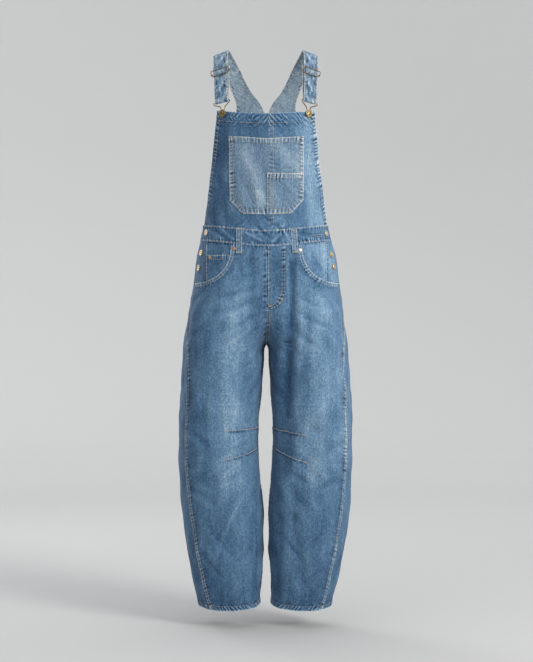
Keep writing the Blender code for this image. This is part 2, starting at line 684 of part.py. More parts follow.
def make_back_bib():
    """The back bib, in two halves, wide at the waist and narrow where the straps start."""
    for mark, side in SIDES:
        q_low = 2 - abs(back_u(side, BACK_LOW_REACH, WAIST_TOP))
        outline = [(side * (2 - q), float(waist_z(WAIST_TOP, q)) + SEAM)
                   for q in between(2 - Q_SEAM / 2, q_low, SEAM_Q)]
        foot = outline[-1][1]
        for i in range(1, BIB_STEPS + 1):
            z = foot + (BACK_TOP - foot) * i / BIB_STEPS
            outline.append((back_u(side, back_side(z), z), z))
        outline.append((side * Q_SEAM / 2, BACK_TOP))
        cloth_piece("back_bib_" + mark, back_frame, outline, colour=DENIM_DARK, u_step=BIB_U_STEP)


# Straps. Each station gives the strap's inner and outer edge on the right, as distances out,
# back and up. The left strap is the mirror image, a little nearer to the middle plane.
STRAP_COLUMNS = ("x_in", "y_in", "z_in", "x_out", "y_out", "z_out")
STRAP_STATIONS = (
    (0.0006, 0.1065, -0.1645, 0.0860, 0.0905, -0.1645),
    (0.0085, 0.1060, -0.1300, 0.0790, 0.0905, -0.1290),
    (0.0446, 0.0950, -0.0793, 0.0936, 0.0820, -0.0793),
    (0.0705, 0.0660, -0.0300, 0.1120, 0.0560, -0.0360),
    (0.0880, 0.0300, -0.0020, 0.1270, 0.0260, -0.0160),
    (0.0955, -0.0080, 0.0060, 0.1335, -0.0090, -0.0090),
    (0.0980, -0.0480, -0.0100, 0.1345, -0.0450, -0.0230),
    (0.0985, -0.0790, -0.0480, 0.1335, -0.0740, -0.0590),
    (0.0980, -0.0960, -0.0950, 0.1305, -0.0900, -0.1040),
    (0.0965, -0.1030, -0.1330, 0.1285, -0.0965, -0.1415),
)
LEFT_STRAP_SCALE = 0.965
FRONT_FOLD = 3.0 * MM           # clear space between the strap and its end that comes back behind
FOLD_STEPS = 6
RETURN_LENGTH = 0.098           # length of that end
RETURN_STEPS = 8
RETURN_SHIFT = 0.0035           # it lies this much nearer to the middle plane
RETURN_EASE = 0.030             # length over which it moves there
STRAP_SPACING = 0.013
STRAP_ACROSS = 3                # faces across the strap


def distance_back(inner, outer):
    """How far each of the strap's stations lies from its lower end in front, last one first."""
    centre = ((inner + outer) / 2)[::-1]
    return np.concatenate([[0], np.cumsum(np.linalg.norm(np.diff(centre, axis=0), axis=1))])


def read_back(back, values, distance):
    """The strap's values at a distance from its lower end in front."""
    return np.array([np.interp(distance, back, values[::-1, k]) for k in range(3)])


def unit(vector):
    """The vector at length 1."""
    return vector / np.linalg.norm(vector)


def strap_curve(mark):
    """The two edges of the strap as smooth, evenly spaced lines, from the back to the front end."""
    table = np.array(STRAP_STATIONS)
    side = -1.0 if mark == "R" else 1.0
    scale = 1.0 if mark == "R" else LEFT_STRAP_SCALE
    for column in (0, 3):
        table[:, column] *= side * scale
    middle = (table[:, :3] + table[:, 3:]) / 2
    length = np.concatenate([[0], np.cumsum(np.linalg.norm(np.diff(middle, axis=0), axis=1))])
    count = round(length[-1] / STRAP_SPACING)
    marks = np.linspace(0, length[-1], count + 1)
    edges = np.stack([follow(length, table[:, i], marks) for i in range(6)], axis=1)
    return edges[:, :3], edges[:, 3:], side


def band_normals(inner, outer, side):
    """Outward direction of a ribbon at each of its stations."""
    middle = (inner + outer) / 2
    along = np.gradient(middle, axis=0)
    width = outer - inner
    out = np.cross(along, width) * side
    return out / np.linalg.norm(out, axis=1, keepdims=True)


def front_end(mark):
    """The strap's lower end in front: edge points, direction down, direction out, width."""
    inner, outer, side = strap_curve(mark)
    ahead = band_normals(inner, outer, side)[-1]
    down = unit(inner[-1] + outer[-1] - inner[-2] - outer[-2])
    return inner[-1], outer[-1], down, ahead


def strap_path(mark):
    """Edges and outward directions of the whole strap, with its end turned back behind."""
    inner, outer, side = strap_curve(mark)
    out = band_normals(inner, outer, side)
    _, _, down, ahead = front_end(mark)
    radius = (FRONT_FOLD + DOUBLE) / 2
    base_in = inner[-1] - ahead * (DOUBLE / 2)
    base_out = outer[-1] - ahead * (DOUBLE / 2)
    rows = [(a - n * DOUBLE / 2, b - n * DOUBLE / 2, n) for a, b, n in zip(inner, outer, out)]
    for i in range(1, FOLD_STEPS + 1):
        angle = math.pi * i / FOLD_STEPS
        move = down * (radius * math.sin(angle)) - ahead * (radius * (1 - math.cos(angle)))
        facing = ahead * math.cos(angle) + down * math.sin(angle)
        rows.append((base_in + move, base_out + move, facing))
    back = distance_back(inner, outer)
    drop = 2 * radius + DOUBLE / 2
    for i in range(1, RETURN_STEPS + 1):
        distance = RETURN_LENGTH * i / RETURN_STEPS
        facing = unit(read_back(back, out, distance))
        shift = np.array([-side * RETURN_SHIFT * min(1.0, distance / RETURN_EASE), 0, 0])
        spot_in = read_back(back, inner, distance) - facing * drop + shift
        spot_out = read_back(back, outer, distance) - facing * drop + shift
        rows.append((spot_in, spot_out, -facing))
    return rows


def make_straps():
    """Each strap as one folded ribbon of doubled cloth."""
    shares = [i / STRAP_ACROSS for i in range(STRAP_ACROSS + 1)]
    for mark, _ in SIDES:
        rows = strap_path(mark)
        form = bmesh.new()
        rings = []
        for inner, outer, facing in rows:
            line = [inner + (outer - inner) * s for s in shares]
            upper = [form.verts.new(spot + facing * DOUBLE / 2) for spot in line]
            lower = [form.verts.new(spot - facing * DOUBLE / 2) for spot in line]
            rings.append(upper + lower[::-1])
        for one, two in zip(rings, rings[1:]):
            for i in range(len(one)):
                j = (i + 1) % len(one)
                form.faces.new([one[i], one[j], two[j], two[i]])
        for ring in (rings[0], rings[-1]):
            half = len(ring) // 2
            for i in range(half - 1):
                form.faces.new([ring[i], ring[i + 1], ring[-2 - i], ring[-1 - i]])
        bmesh.ops.recalc_face_normals(form, faces=form.faces)
        mesh = bpy.data.meshes.new("strap_" + mark)
        form.to_mesh(mesh)
        form.free()
        mesh.shade_smooth()
        mesh.set_sharp_from_angle(angle=math.radians(50))
        add_object("strap_" + mark, mesh, DENIM_PALE, 0.9)


def lathe(name, profile, centre, axis, colour, segments):
    """A turned piece: the profile's radii and heights, in millimetres, spun round the axis."""
    form = bmesh.new()
    rings = []
    for radius, height in np.array(profile) * MM:
        if radius == 0:
            rings.append([form.verts.new((0, 0, height))])
            continue
        turn = [2 * math.pi * i / segments for i in range(segments)]
        rings.append([form.verts.new((radius * math.cos(a), radius * math.sin(a), height))
                      for a in turn])
    for one, two in zip(rings, rings[1:]):
        for i in range(segments):
            j = (i + 1) % segments
            corners = [one[i % len(one)], one[j % len(one)], two[j % len(two)], two[i % len(two)]]
            form.faces.new(list(dict.fromkeys(corners)))
    bmesh.ops.recalc_face_normals(form, faces=form.faces)
    mesh = bpy.data.meshes.new(name)
    form.to_mesh(mesh)
    form.free()
    mesh.shade_smooth()
    mesh.set_sharp_from_angle(angle=math.radians(40))
    thing = add_object(name, mesh, colour, 0.35, 1.0)
    thing.location = centre
    thing.rotation_euler = Vector(axis).to_track_quat("Z", "Y").to_euler()
    return thing


def wire_mesh(name, points, radius, closed):
    """A round wire along the points, as a mesh."""
    curve = bpy.data.curves.new(name, "CURVE")
    curve.dimensions = "3D"
    curve.bevel_depth = radius
    curve.bevel_resolution = 1
    curve.use_fill_caps = not closed
    line = curve.splines.new("POLY")
    line.points.add(len(points) - 1)
    for spot, place in zip(line.points, points):
        spot.co = (*place, 1.0)
    line.use_cyclic_u = closed
    guide = bpy.data.objects.new(name + "_line", curve)
    bpy.context.collection.objects.link(guide)
    bpy.context.view_layer.update()
    seen = guide.evaluated_get(bpy.context.evaluated_depsgraph_get())
    mesh = bpy.data.meshes.new_from_object(seen)
    mesh.name = name
    bpy.data.objects.remove(guide)
    mesh.shade_smooth()
    return mesh


def rounded(corners, radius, steps=3, closed=True):
    """A run of straight stretches with its corners rounded off."""
    line = []
    total = len(corners)
    for i, corner in enumerate(corners):
        if not closed and i in (0, total - 1):
            line.append(corner)
            continue
        before = corners[i - 1] - corner
        after = corners[(i + 1) % total] - corner
        cut = min(radius, np.linalg.norm(before) / 2.1, np.linalg.norm(after) / 2.1)
        start = corner + before / np.linalg.norm(before) * cut
        end = corner + after / np.linalg.norm(after) * cut
        for k in range(steps + 1):
            t = k / steps
            line.append((1 - t) ** 2 * start + 2 * t * (1 - t) * corner + t * t * end)
    return line


WIRE = 1.15 * MM                # radius of the hook's and slider's wire
SLIDER_BACK = 0.078             # distance of the slider's bar from the strap's lower end
SLIDER_REACH = 5.0 * MM         # how far the slider's frame reaches past the strap's edges
SLIDER_HALF = 8.6 * MM          # half of the slider's height
SLIDER_BEND = 5.5 * MM          # rounding of the frame's corners
SLIDER_CLEAR = 0.8 * MM         # space between the frame and the strap
BAR_WIRE = 1.08 * MM            # radius of the slider's bar
BAR_BEND = 2.5 * MM
BAR_INSET = 0.5 * MM            # how much narrower the bar is than the frame
SLIDER_STEP = 0.010             # length of strap over which the slider's direction is read
HOOK_OVERHANG = 4.2 * MM        # how far the hook's bar reaches past the strap's edges
HOOK_BEND = 2.4 * MM
HOOK_CLEAR = 0.4 * MM           # space between the hook's loop and the bib
HOOK_INSET = 0.6 * MM           # how much the hook narrows just below its bar
HOOK_DROP = 4.5 * MM            # how far below the bar that is
HOOK_NECK = (
    # distance out from the loop's own half-width, height above the button
    (2.2 * MM, 17.0 * MM),
    (0.0, 9.5 * MM),
)
HOOK_STEPS = 10
BIB_BUTTONS = {
    # side: distance from the middle plane, height
    "R": (-0.1087, -0.1655),
    "L": (0.1040, -0.1665),
}
SHANK = 3.0                     # radius of the shank under the bib button, in millimetres
BIB_BUTTON = (
    # radius and height above the seat, in millimetres
    (0, 0),
    (SHANK, 0),
    (SHANK, 3.4),
    (9.1, 3.4),
    (9.8, 4.2),
    (9.2, 5.1),
    (7.25, 5.3),
    (6.5, 4.7),
    (2.9, 4.9),
    (0, 5.3),
)
SIDE_BUTTON = (
    # radius, height
    (0, 0),
    (2.2, 0),
    (2.2, 1.0),
    (7.3, 1.0),
    (7.9, 1.8),
    (7.3, 2.7),
    (5.2, 2.9),
    (4.6, 2.3),
    (0, 2.5),
)
RIVET = (
    # radius, height
    (0, 0),
    (4.3, 0),
    (3.95, 0.7),
    (2.15, 1.2),
    (0, 1.35),
)
SIDE_BUTTONS = (
    # name, x, z, lift of the cloth it is on
    ("R1", -0.1510, -0.4615, BAND_LIFT),
    ("R2", -0.1640, -0.5125, 0.0),
    ("R3", -0.1700, -0.5505, 0.0),
    ("L1", 0.1490, -0.4640, BAND_LIFT),
    ("L2", 0.1620, -0.5165, 0.0),
    ("L3", 0.1685, -0.5470, 0.0),
)
RIVETS = (
    # name, x, z, lift of the cloth it is on, colour
    ("pocket_R", -0.0805, -0.5045, 0.0, COPPER),
    ("pocket_L", 0.0838, -0.5080, 0.0, STEEL),
    ("coin_R", -0.1410, -0.5255, COIN_LIFT, COPPER),
)


def seat(x, z, lift):
    """Point and outward direction of a fastener's seat on the front."""
    side = np.array([math.copysign(1.0, x)])
    q = np.array([float(q_at(side[0], abs(x), z))])
    z = np.array([z])
    return cloth(side, q, z, np.array([lift]))[0], surface_normal(side, q, z)[0]


def make_slider(mark):
    """The strap's adjuster: a frame in front of the strap and a bar behind it."""
    inner, outer, side = strap_curve(mark)
    facing = band_normals(inner, outer, side)
    centre = (inner + outer) / 2
    back = distance_back(inner, outer)
    middle = read_back(back, centre, SLIDER_BACK)
    ahead = unit(read_back(back, facing, SLIDER_BACK))
    wide = read_back(back, outer, SLIDER_BACK) - read_back(back, inner, SLIDER_BACK)
    half = np.linalg.norm(wide) / 2 + SLIDER_REACH
    wide = unit(wide)
    up = read_back(back, centre, SLIDER_BACK + SLIDER_STEP)
    up -= read_back(back, centre, SLIDER_BACK - SLIDER_STEP)
    up = unit(up - wide * (up @ wide))
    front = middle + ahead * (SLIDER_CLEAR + WIRE)
    corners = [front + wide * half * a + up * SLIDER_HALF * b
               for a, b in ((-1, -1), (1, -1), (1, 1), (-1, 1))]
    frame = wire_mesh("slider_" + mark, rounded(corners, SLIDER_BEND), WIRE, True)
    behind = middle - ahead * (DOUBLE + FRONT_FOLD / 2)
    narrow = half - BAR_INSET
    run = [front - wide * half, behind - wide * narrow, behind + wide * narrow, front + wide * half]
    bar = wire_mesh("slider_bar_" + mark, rounded(run, BAR_BEND, closed=False), BAR_WIRE, False)
    thing = add_object("slider_" + mark, frame, OLD_BRASS, 0.4, 1.0)
    guide = bpy.data.objects.new("slider_bar_" + mark, bar)
    bpy.context.collection.objects.link(guide)
    guide.hide_render = True
    guide.display_type = "WIRE"
    join = thing.modifiers.new("bar", "BOOLEAN")
    join.operation = "UNION"
    join.solver = "EXACT"
    join.object = guide


def make_hook(mark):
    """The bent wire that carries the bib: a bar through the strap and a loop round the button."""
    inner, outer, down, ahead = front_end(mark)
    half = np.linalg.norm(outer - inner) / 2 + HOOK_OVERHANG
    wide = unit(outer - inner)
    bar = (inner + outer) / 2 - ahead * (DOUBLE + FRONT_FOLD / 2)
    x, z = BIB_BUTTONS[mark]
    ring = SHANK * MM + SEAM + WIRE
    centre, normal = seat(x, z, SEAM + HOOK_CLEAR + WIRE)
    up = np.array([0.0, 0.0, 1.0])
    up = unit(up - normal * (up @ normal))
    out = np.cross(normal, up)
    out *= math.copysign(1.0, out @ wide)
    arms = []
    for way in (1, -1):
        corners = [bar, bar + wide * half * way]
        corners.append(bar + wide * (half - HOOK_INSET) * way + down * HOOK_DROP)
        corners += [centre + out * (ring + aside) * way + up * rise for aside, rise in HOOK_NECK]
        arms.append(rounded(corners, HOOK_BEND, closed=False)[1:])
    loop = []
    for i in range(HOOK_STEPS + 1):
        angle = math.pi * i / HOOK_STEPS
        loop.append(centre + out * (ring * math.cos(angle)) - up * (ring * math.sin(angle)))
    mesh = wire_mesh("hook_" + mark, arms[0] + loop + arms[1][::-1], WIRE, True)
    add_object("hook_" + mark, mesh, OLD_BRASS, 0.4, 1.0)


def make_buttons():
    """Bib buttons, side buttons and rivets, each turned on its own axis."""
    for mark, (x, z) in BIB_BUTTONS.items():
        centre, normal = seat(x, z, SEAM)
        lathe("bib_button_" + mark, BIB_BUTTON, centre, normal, OLD_BRASS, 16)
    for name, x, z, lift in SIDE_BUTTONS:
        centre, normal = seat(x, z, lift + SEAM)
        lathe("side_button_" + name, SIDE_BUTTON, centre, normal, GOLD, 12)
    for name, x, z, lift, colour in RIVETS:
        centre, normal = seat(x, z, lift + SEAM)
        lathe("rivet_" + name, RIVET, centre, normal, colour, 12)


def main():
    """Clear the scene and make every piece."""
    for old in list(bpy.data.objects):
        bpy.data.objects.remove(old)
    make_legs()
    make_hips()
    make_fly()
    make_waist()
    make_bib()
    make_bib_pockets()
    make_back_bib()
    make_straps()
    for mark, _ in SIDES:
        make_slider(mark)
        make_hook(mark)
    make_buttons()


main()
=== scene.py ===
"""Looks of denim wide-leg bib overalls, filled out as worn, with nobody in them.

Metres, +Z up. The garment faces -Y, and its right side, R, is at -X. Every cloth piece is a thin
closed shell over the place of its own solid. A place on the garment's surface is given by the
side, by a number q that runs round half of the garment, and by the height z. q is 0 at the middle
of the front, or at the inseam below the crotch, 1 at the side, and 2 at the middle of the back.
"""
import math
from functools import partial

import bmesh
import bpy
import numpy as np
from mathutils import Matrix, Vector
from mathutils.geometry import delaunay_2d_cdt


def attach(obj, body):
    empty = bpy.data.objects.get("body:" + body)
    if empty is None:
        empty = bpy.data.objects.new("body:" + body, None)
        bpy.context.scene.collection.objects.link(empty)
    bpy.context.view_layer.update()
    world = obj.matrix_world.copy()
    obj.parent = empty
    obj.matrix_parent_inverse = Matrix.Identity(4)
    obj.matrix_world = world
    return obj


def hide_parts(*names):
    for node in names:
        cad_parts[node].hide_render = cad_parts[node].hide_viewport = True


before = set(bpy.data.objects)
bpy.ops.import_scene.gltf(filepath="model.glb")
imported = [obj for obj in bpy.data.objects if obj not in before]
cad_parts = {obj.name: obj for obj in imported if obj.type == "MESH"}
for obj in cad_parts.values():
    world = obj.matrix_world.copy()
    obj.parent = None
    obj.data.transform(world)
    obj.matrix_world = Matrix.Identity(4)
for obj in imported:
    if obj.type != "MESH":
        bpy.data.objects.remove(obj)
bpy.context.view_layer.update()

MM = 0.001
SIDES = (("R", -1.0), ("L", 1.0))

# Cloth, as in the solids
CLOTH = 1.4 * MM
THIN = 1.2 * MM
DOUBLE = 2.4 * MM
SEAM = 0.3 * MM
LAYER = 0.6 * MM

# Heights, as in the solids
WAIST_TOP = -0.441
WAIST_SEAM = -0.481
FRONT_DIP = 0.0175
BACK_RISE = 0.006
FORK_FRONT = -0.635
FORK_BACK = -0.560
CROTCH = -0.741
FORK_FLARE = 0.016
SIDE_SEAM_LOW = -0.600
HEM = -1.403
HEM_DIP = 0.010
HEM_BACK = 0.3                  # the back's dip, as a share of that
HEM_SIDE = 0.003                # how much lower the hem lies at the side

# Half of the garment in level sections, as in the solids
SECTION_COLUMNS = ("z", "out_r", "out_l", "in_r", "in_l", "core", "front", "back", "mid", "power")
SECTIONS = (
    (-1.420, 0.1690, 0.1630, 0.0166, 0.0115, 0.0915, 0.060, 0.060, 0.010, 2.10),
    (-1.382, 0.1798, 0.1721, 0.0166, 0.0115, 0.0965, 0.066, 0.065, 0.008, 2.10),
    (-1.331, 0.1900, 0.1849, 0.0115, 0.0115, 0.1000, 0.073, 0.072, 0.006, 2.10),
    (-1.280, 0.2000, 0.1950, 0.0089, 0.0064, 0.1030, 0.079, 0.078, 0.004, 2.10),
    (-1.178, 0.2129, 0.2104, 0.0090, 0.0070, 0.1100, 0.089, 0.087, 0.000, 2.15),
    (-1.076, 0.2225, 0.2165, 0.0166, 0.0115, 0.1180, 0.097, 0.093, -0.003, 2.20),
    (-0.974, 0.2231, 0.2180, 0.0217, 0.0166, 0.1210, 0.103, 0.096, -0.004, 2.20),
    (-0.872, 0.2180, 0.2150, 0.0140, 0.0115, 0.1150, 0.112, 0.106, -0.002, 2.25),
    (-0.770, 0.2129, 0.2078, 0.0070, 0.0060, 0.1080, 0.122, 0.126, 0.002, 2.30),
    (-0.719, 0.2078, 0.2027, 0.0064, 0.0060, 0.1000, 0.126, 0.137, 0.003, 2.35),
    (-0.668, 0.1985, 0.1955, 0.0064, 0.0060, 0.0850, 0.127, 0.143, 0.004, 2.40),
    (-0.617, 0.1900, 0.1900, 0.0064, 0.0060, 0.0600, 0.125, 0.142, 0.004, 2.35),
    (-0.566, 0.1830, 0.1830, 0.0064, 0.0060, 0.0350, 0.121, 0.134, 0.003, 2.30),
    (-0.515, 0.1765, 0.1760, 0.0064, 0.0060, 0.0150, 0.117, 0.123, 0.001, 2.25),
    (-0.481, 0.1680, 0.1655, 0.0064, 0.0060, 0.0050, 0.114, 0.116, 0.000, 2.20),
    (-0.441, 0.1605, 0.1565, 0.0064, 0.0060, 0.0000, 0.113, 0.112, 0.000, 2.20),
    (-0.300, 0.1560, 0.1520, 0.0064, 0.0060, 0.0000, 0.110, 0.107, 0.000, 2.20),
    (-0.130, 0.1500, 0.1460, 0.0064, 0.0060, 0.0000, 0.103, 0.108, 0.000, 2.20),
)
TABLE = {name: np.array([row[i] for row in SECTIONS]) for i, name in enumerate(SECTION_COLUMNS)}

OUTSEAM = (
    # z, q
    (-1.420, 0.755),
    (-1.300, 0.786),
    (-1.178, 0.796),
    (-0.930, 0.787),
    (-0.760, 0.793),
    (-0.700, 0.825),
    (-0.650, 0.905),
    (-0.600, 1.000),
    (-0.480, 1.000),
)

# The largest folds, as in the solids
FRONT_FOLDS = (
    # x0, z0, x1, z1, half_width, depth
    (0.064, -0.545, 0.058, -0.700, 0.0110, -0.0095),
    (0.058, -0.700, 0.048, -0.920, 0.0140, -0.0110),
    (0.048, -0.920, 0.044, -1.060, 0.0170, -0.0060),
    (-0.040, -0.535, -0.038, -0.680, 0.0120, -0.0050),
    (0.120, -0.960, 0.075, -1.130, 0.0220, -0.0050),
    (-0.150, -1.080, -0.100, -1.230, 0.0240, -0.0045),
    (0.060, -1.180, 0.085, -1.330, 0.0180, -0.0055),
    (-0.060, -0.800, -0.045, -0.930, 0.0180, -0.0045),
)
BACK_FOLDS = (
    (0.090, -0.790, 0.060, -0.930, 0.0180, -0.0070),
    (-0.092, -0.780, -0.064, -0.900, 0.0170, -0.0065),
    (0.130, -0.960, 0.070, -1.060, 0.0200, -0.0070),
    (-0.128, -0.980, -0.072, -1.070, 0.0200, -0.0075),
    (0.080, -1.180, 0.110, -1.300, 0.0190, -0.0050),
    (-0.085, -1.200, -0.112, -1.310, 0.0190, -0.0050),
)

# Finer creases: bend is how far the middle lies beside a straight line
FRONT_CREASES = (
    # x0, z0, x1, z1, bend, half_width, depth
    # Whiskers over the right thigh
    (-0.018, -0.560, -0.100, -0.585, 0.004, 0.0060, -0.0014),
    (-0.016, -0.592, -0.135, -0.628, 0.006, 0.0065, -0.0018),
    (-0.014, -0.626, -0.150, -0.668, 0.007, 0.0070, -0.0019),
    (-0.014, -0.662, -0.130, -0.715, 0.006, 0.0065, -0.0016),
    (-0.022, -0.700, -0.112, -0.762, 0.005, 0.0070, -0.0013),
    (-0.150, -0.604, -0.194, -0.646, -0.003, 0.0060, -0.0016),
    (-0.150, -0.696, -0.206, -0.738, -0.004, 0.0070, -0.0017),
    (-0.012, -0.746, -0.060, -0.805, 0.006, 0.0060, -0.0020),
    (-0.010, -0.780, -0.046, -0.882, 0.006, 0.0060, -0.0018),
    # Whiskers over the left thigh
    (0.076, -0.586, 0.152, -0.604, -0.005, 0.0060, -0.0015),
    (0.078, -0.622, 0.166, -0.652, -0.006, 0.0065, -0.0018),
    (0.074, -0.660, 0.172, -0.702, -0.007, 0.0070, -0.0018),
    (0.070, -0.704, 0.142, -0.752, -0.005, 0.0065, -0.0014),
    (0.012, -0.746, 0.048, -0.800, -0.004, 0.0060, -0.0018),
    (0.010, -0.802, 0.038, -0.884, -0.004, 0.0060, -0.0016),
    (0.190, -0.652, 0.158, -0.676, 0.003, 0.0055, -0.0014),
    # Round the right knee
    (-0.042, -0.985, -0.122, -1.012, 0.005, 0.0070, -0.0012),
    (-0.204, -0.958, -0.142, -1.002, 0.006, 0.0080, -0.0024),
    (-0.206, -1.050, -0.148, -1.038, -0.004, 0.0080, -0.0022),
    (-0.060, -1.062, -0.132, -1.088, 0.005, 0.0070, -0.0014),
    (-0.196, -1.104, -0.126, -1.152, 0.006, 0.0085, -0.0022),
    # Round the left knee
    (0.040, -1.000, 0.112, -1.032, -0.005, 0.0070, -0.0013),
    (0.198, -0.984, 0.142, -1.022, -0.005, 0.0080, -0.0023),
    (0.192, -1.080, 0.118, -1.112, -0.006, 0.0080, -0.0022),
    (0.058, -1.062, 0.122, -1.092, -0.005, 0.0070, -0.0015),
    # Shins and above the hems
    (-0.152, -1.178, -0.074, -1.282, -0.008, 0.0080, -0.0018),
    (-0.168, -1.258, -0.100, -1.332, -0.006, 0.0070, -0.0020),
    (-0.038, -1.248, -0.092, -1.302, 0.005, 0.0070, -0.0017),
    (-0.066, -1.128, -0.136, -1.302, -0.004, 0.0055, 0.0014),
    (0.152, -1.188, 0.084, -1.272, 0.006, 0.0080, -0.0020),
    (0.040, -1.218, 0.096, -1.290, -0.006, 0.0070, -0.0017),
    (0.142, -1.298, 0.078, -1.352, 0.004, 0.0065, -0.0018),
    (0.058, -1.054, 0.076, -1.200, 0.004, 0.0130, -0.0030),
    # Long soft folds down the legs
    (-0.150, -0.740, -0.166, -0.960, 0.004, 0.0130, -0.0026),
    (-0.095, -0.640, -0.102, -0.880, 0.004, 0.0200, 0.0024),
    (-0.190, -0.790, -0.200, -0.942, 0.003, 0.0100, -0.0030),
    (0.112, -0.660, 0.122, -0.960, 0.005, 0.0200, 0.0030),
    (0.088, -0.600, 0.078, -0.842, 0.003, 0.0100, 0.0026),
    (0.055, -0.536, 0.054, -0.648, 0.002, 0.0045, 0.0018),
    (0.036, -0.700, 0.022, -0.900, 0.003, 0.0090, 0.0020),
    # Below the waistband
    (-0.030, -0.494, -0.056, -0.562, 0.003, 0.0050, -0.0015),
    (-0.072, -0.530, -0.050, -0.590, -0.003, 0.0055, -0.0014),
    (0.060, -0.500, 0.076, -0.562, 0.003, 0.0050, -0.0014),
    (-0.090, -0.606, -0.070, -0.682, -0.004, 0.0070, -0.0012),
    (-0.110, -0.500, -0.135, -0.548, 0.003, 0.0050, -0.0012),
    (0.112, -0.505, 0.138, -0.560, -0.003, 0.0055, -0.0016),
    # Waistband
    (-0.028, -0.444, 0.000, -0.480, 0.002, 0.0040, -0.0022),
    (0.058, -0.446, 0.012, -0.484, -0.002, 0.0040, -0.0024),
    (0.028, -0.446, 0.046, -0.484, 0.001, 0.0036, -0.0020),
    (-0.052, -0.448, -0.034, -0.486, 0.002, 0.0036, -0.0010),
    (0.120, -0.444, 0.096, -0.482, 0.002, 0.0040, -0.0011),
    (-0.096, -0.444, -0.122, -0.478, 0.002, 0.0040, -0.0011),
    # Bib
    (-0.012, -0.424, 0.030, -0.454, 0.003, 0.0040, -0.0013),
    (0.048, -0.422, 0.014, -0.456, 0.002, 0.0040, -0.0012),
    (-0.050, -0.426, -0.082, -0.450, 0.002, 0.0045, -0.0011),
    (0.006, -0.184, 0.044, -0.226, 0.003, 0.0045, -0.0013),
    (0.062, -0.184, 0.032, -0.218, 0.002, 0.0040, -0.0011),
    (-0.030, -0.184, -0.056, -0.216, 0.002, 0.0045, -0.0011),
    (-0.112, -0.200, -0.126, -0.400, 0.004, 0.0110, -0.0022),
    (0.112, -0.220, 0.128, -0.420, -0.003, 0.0100, -0.0020),
    (0.104, -0.300, 0.110, -0.432, 0.002, 0.0080, 0.0012),
    # Bib pocket
    (-0.068, -0.260, -0.012, -0.396, 0.006, 0.0110, 0.0021),
    (-0.078, -0.300, -0.032, -0.408, 0.005, 0.0090, -0.0017),
    (-0.022, -0.244, -0.040, -0.312, 0.003, 0.0070, -0.0011),
    (0.028, -0.246, 0.074, -0.312, 0.004, 0.0100, 0.0015),
    (0.020, -0.304, 0.060, -0.250, 0.003, 0.0060, -0.0011),
    (0.030, -0.345, 0.072, -0.388, 0.004, 0.0070, -0.0012),
)
BACK_CREASES = (
    # Seat and back of the thighs
    (0.016, -0.724, 0.104, -0.792, -0.006, 0.0100, -0.0036),
    (-0.018, -0.728, -0.108, -0.786, 0.006, 0.0100, -0.0034),
    (0.014, -0.662, 0.094, -0.702, -0.005, 0.0080, -0.0020),
    (-0.014, -0.656, -0.088, -0.690, 0.005, 0.0080, -0.0019),
    (0.120, -0.640, 0.176, -0.676, -0.004, 0.0080, -0.0018),
    (-0.124, -0.648, -0.180, -0.690, 0.004, 0.0080, -0.0018),
    # Behind the knees
    (0.192, -0.938, 0.088, -1.002, -0.007, 0.0110, -0.0038),
    (0.186, -1.042, 0.078, -1.052, 0.006, 0.0110, -0.0040),
    (0.180, -1.112, 0.092, -1.092, 0.005, 0.0095, -0.0030),
    (0.048, -0.990, 0.110, -1.034, -0.004, 0.0080, -0.0024),
    (-0.192, -0.928, -0.084, -0.996, 0.007, 0.0110, -0.0040),
    (-0.186, -1.030, -0.074, -1.056, -0.006, 0.0105, -0.0036),
    (-0.182, -1.122, -0.094, -1.090, -0.005, 0.0095, -0.0030),
    (-0.046, -1.000, -0.122, -1.030, 0.004, 0.0080, -0.0022),
    # Calves
    (0.152, -1.178, 0.078, -1.242, -0.006, 0.0090, -0.0028),
    (0.058, -1.258, 0.122, -1.322, -0.005, 0.0080, -0.0022),
    (-0.152, -1.188, -0.084, -1.252, 0.006, 0.0090, -0.0026),
    (-0.054, -1.268, -0.118, -1.318, 0.005, 0.0080, -0.0022),
    # Back of the waist and the back bib
    (-0.062, -0.490, -0.040, -0.562, 0.004, 0.0070, -0.0019),
    (0.060, -0.492, 0.046, -0.566, -0.004, 0.0070, -0.0019),
    (-0.112, -0.498, -0.100, -0.602, 0.004, 0.0080, -0.0020),
    (0.112, -0.500, 0.104, -0.592, -0.004, 0.0080, -0.0018),
    (0.030, -0.200, 0.100, -0.430, 0.010, 0.0120, -0.0030),
    (-0.032, -0.198, -0.096, -0.428, -0.010, 0.0120, -0.0028),
    (0.062, -0.410, 0.006, -0.440, 0.003, 0.0060, -0.0015),
    (-0.070, -0.400, -0.016, -0.436, 0.003, 0.0060, -0.0015),
)
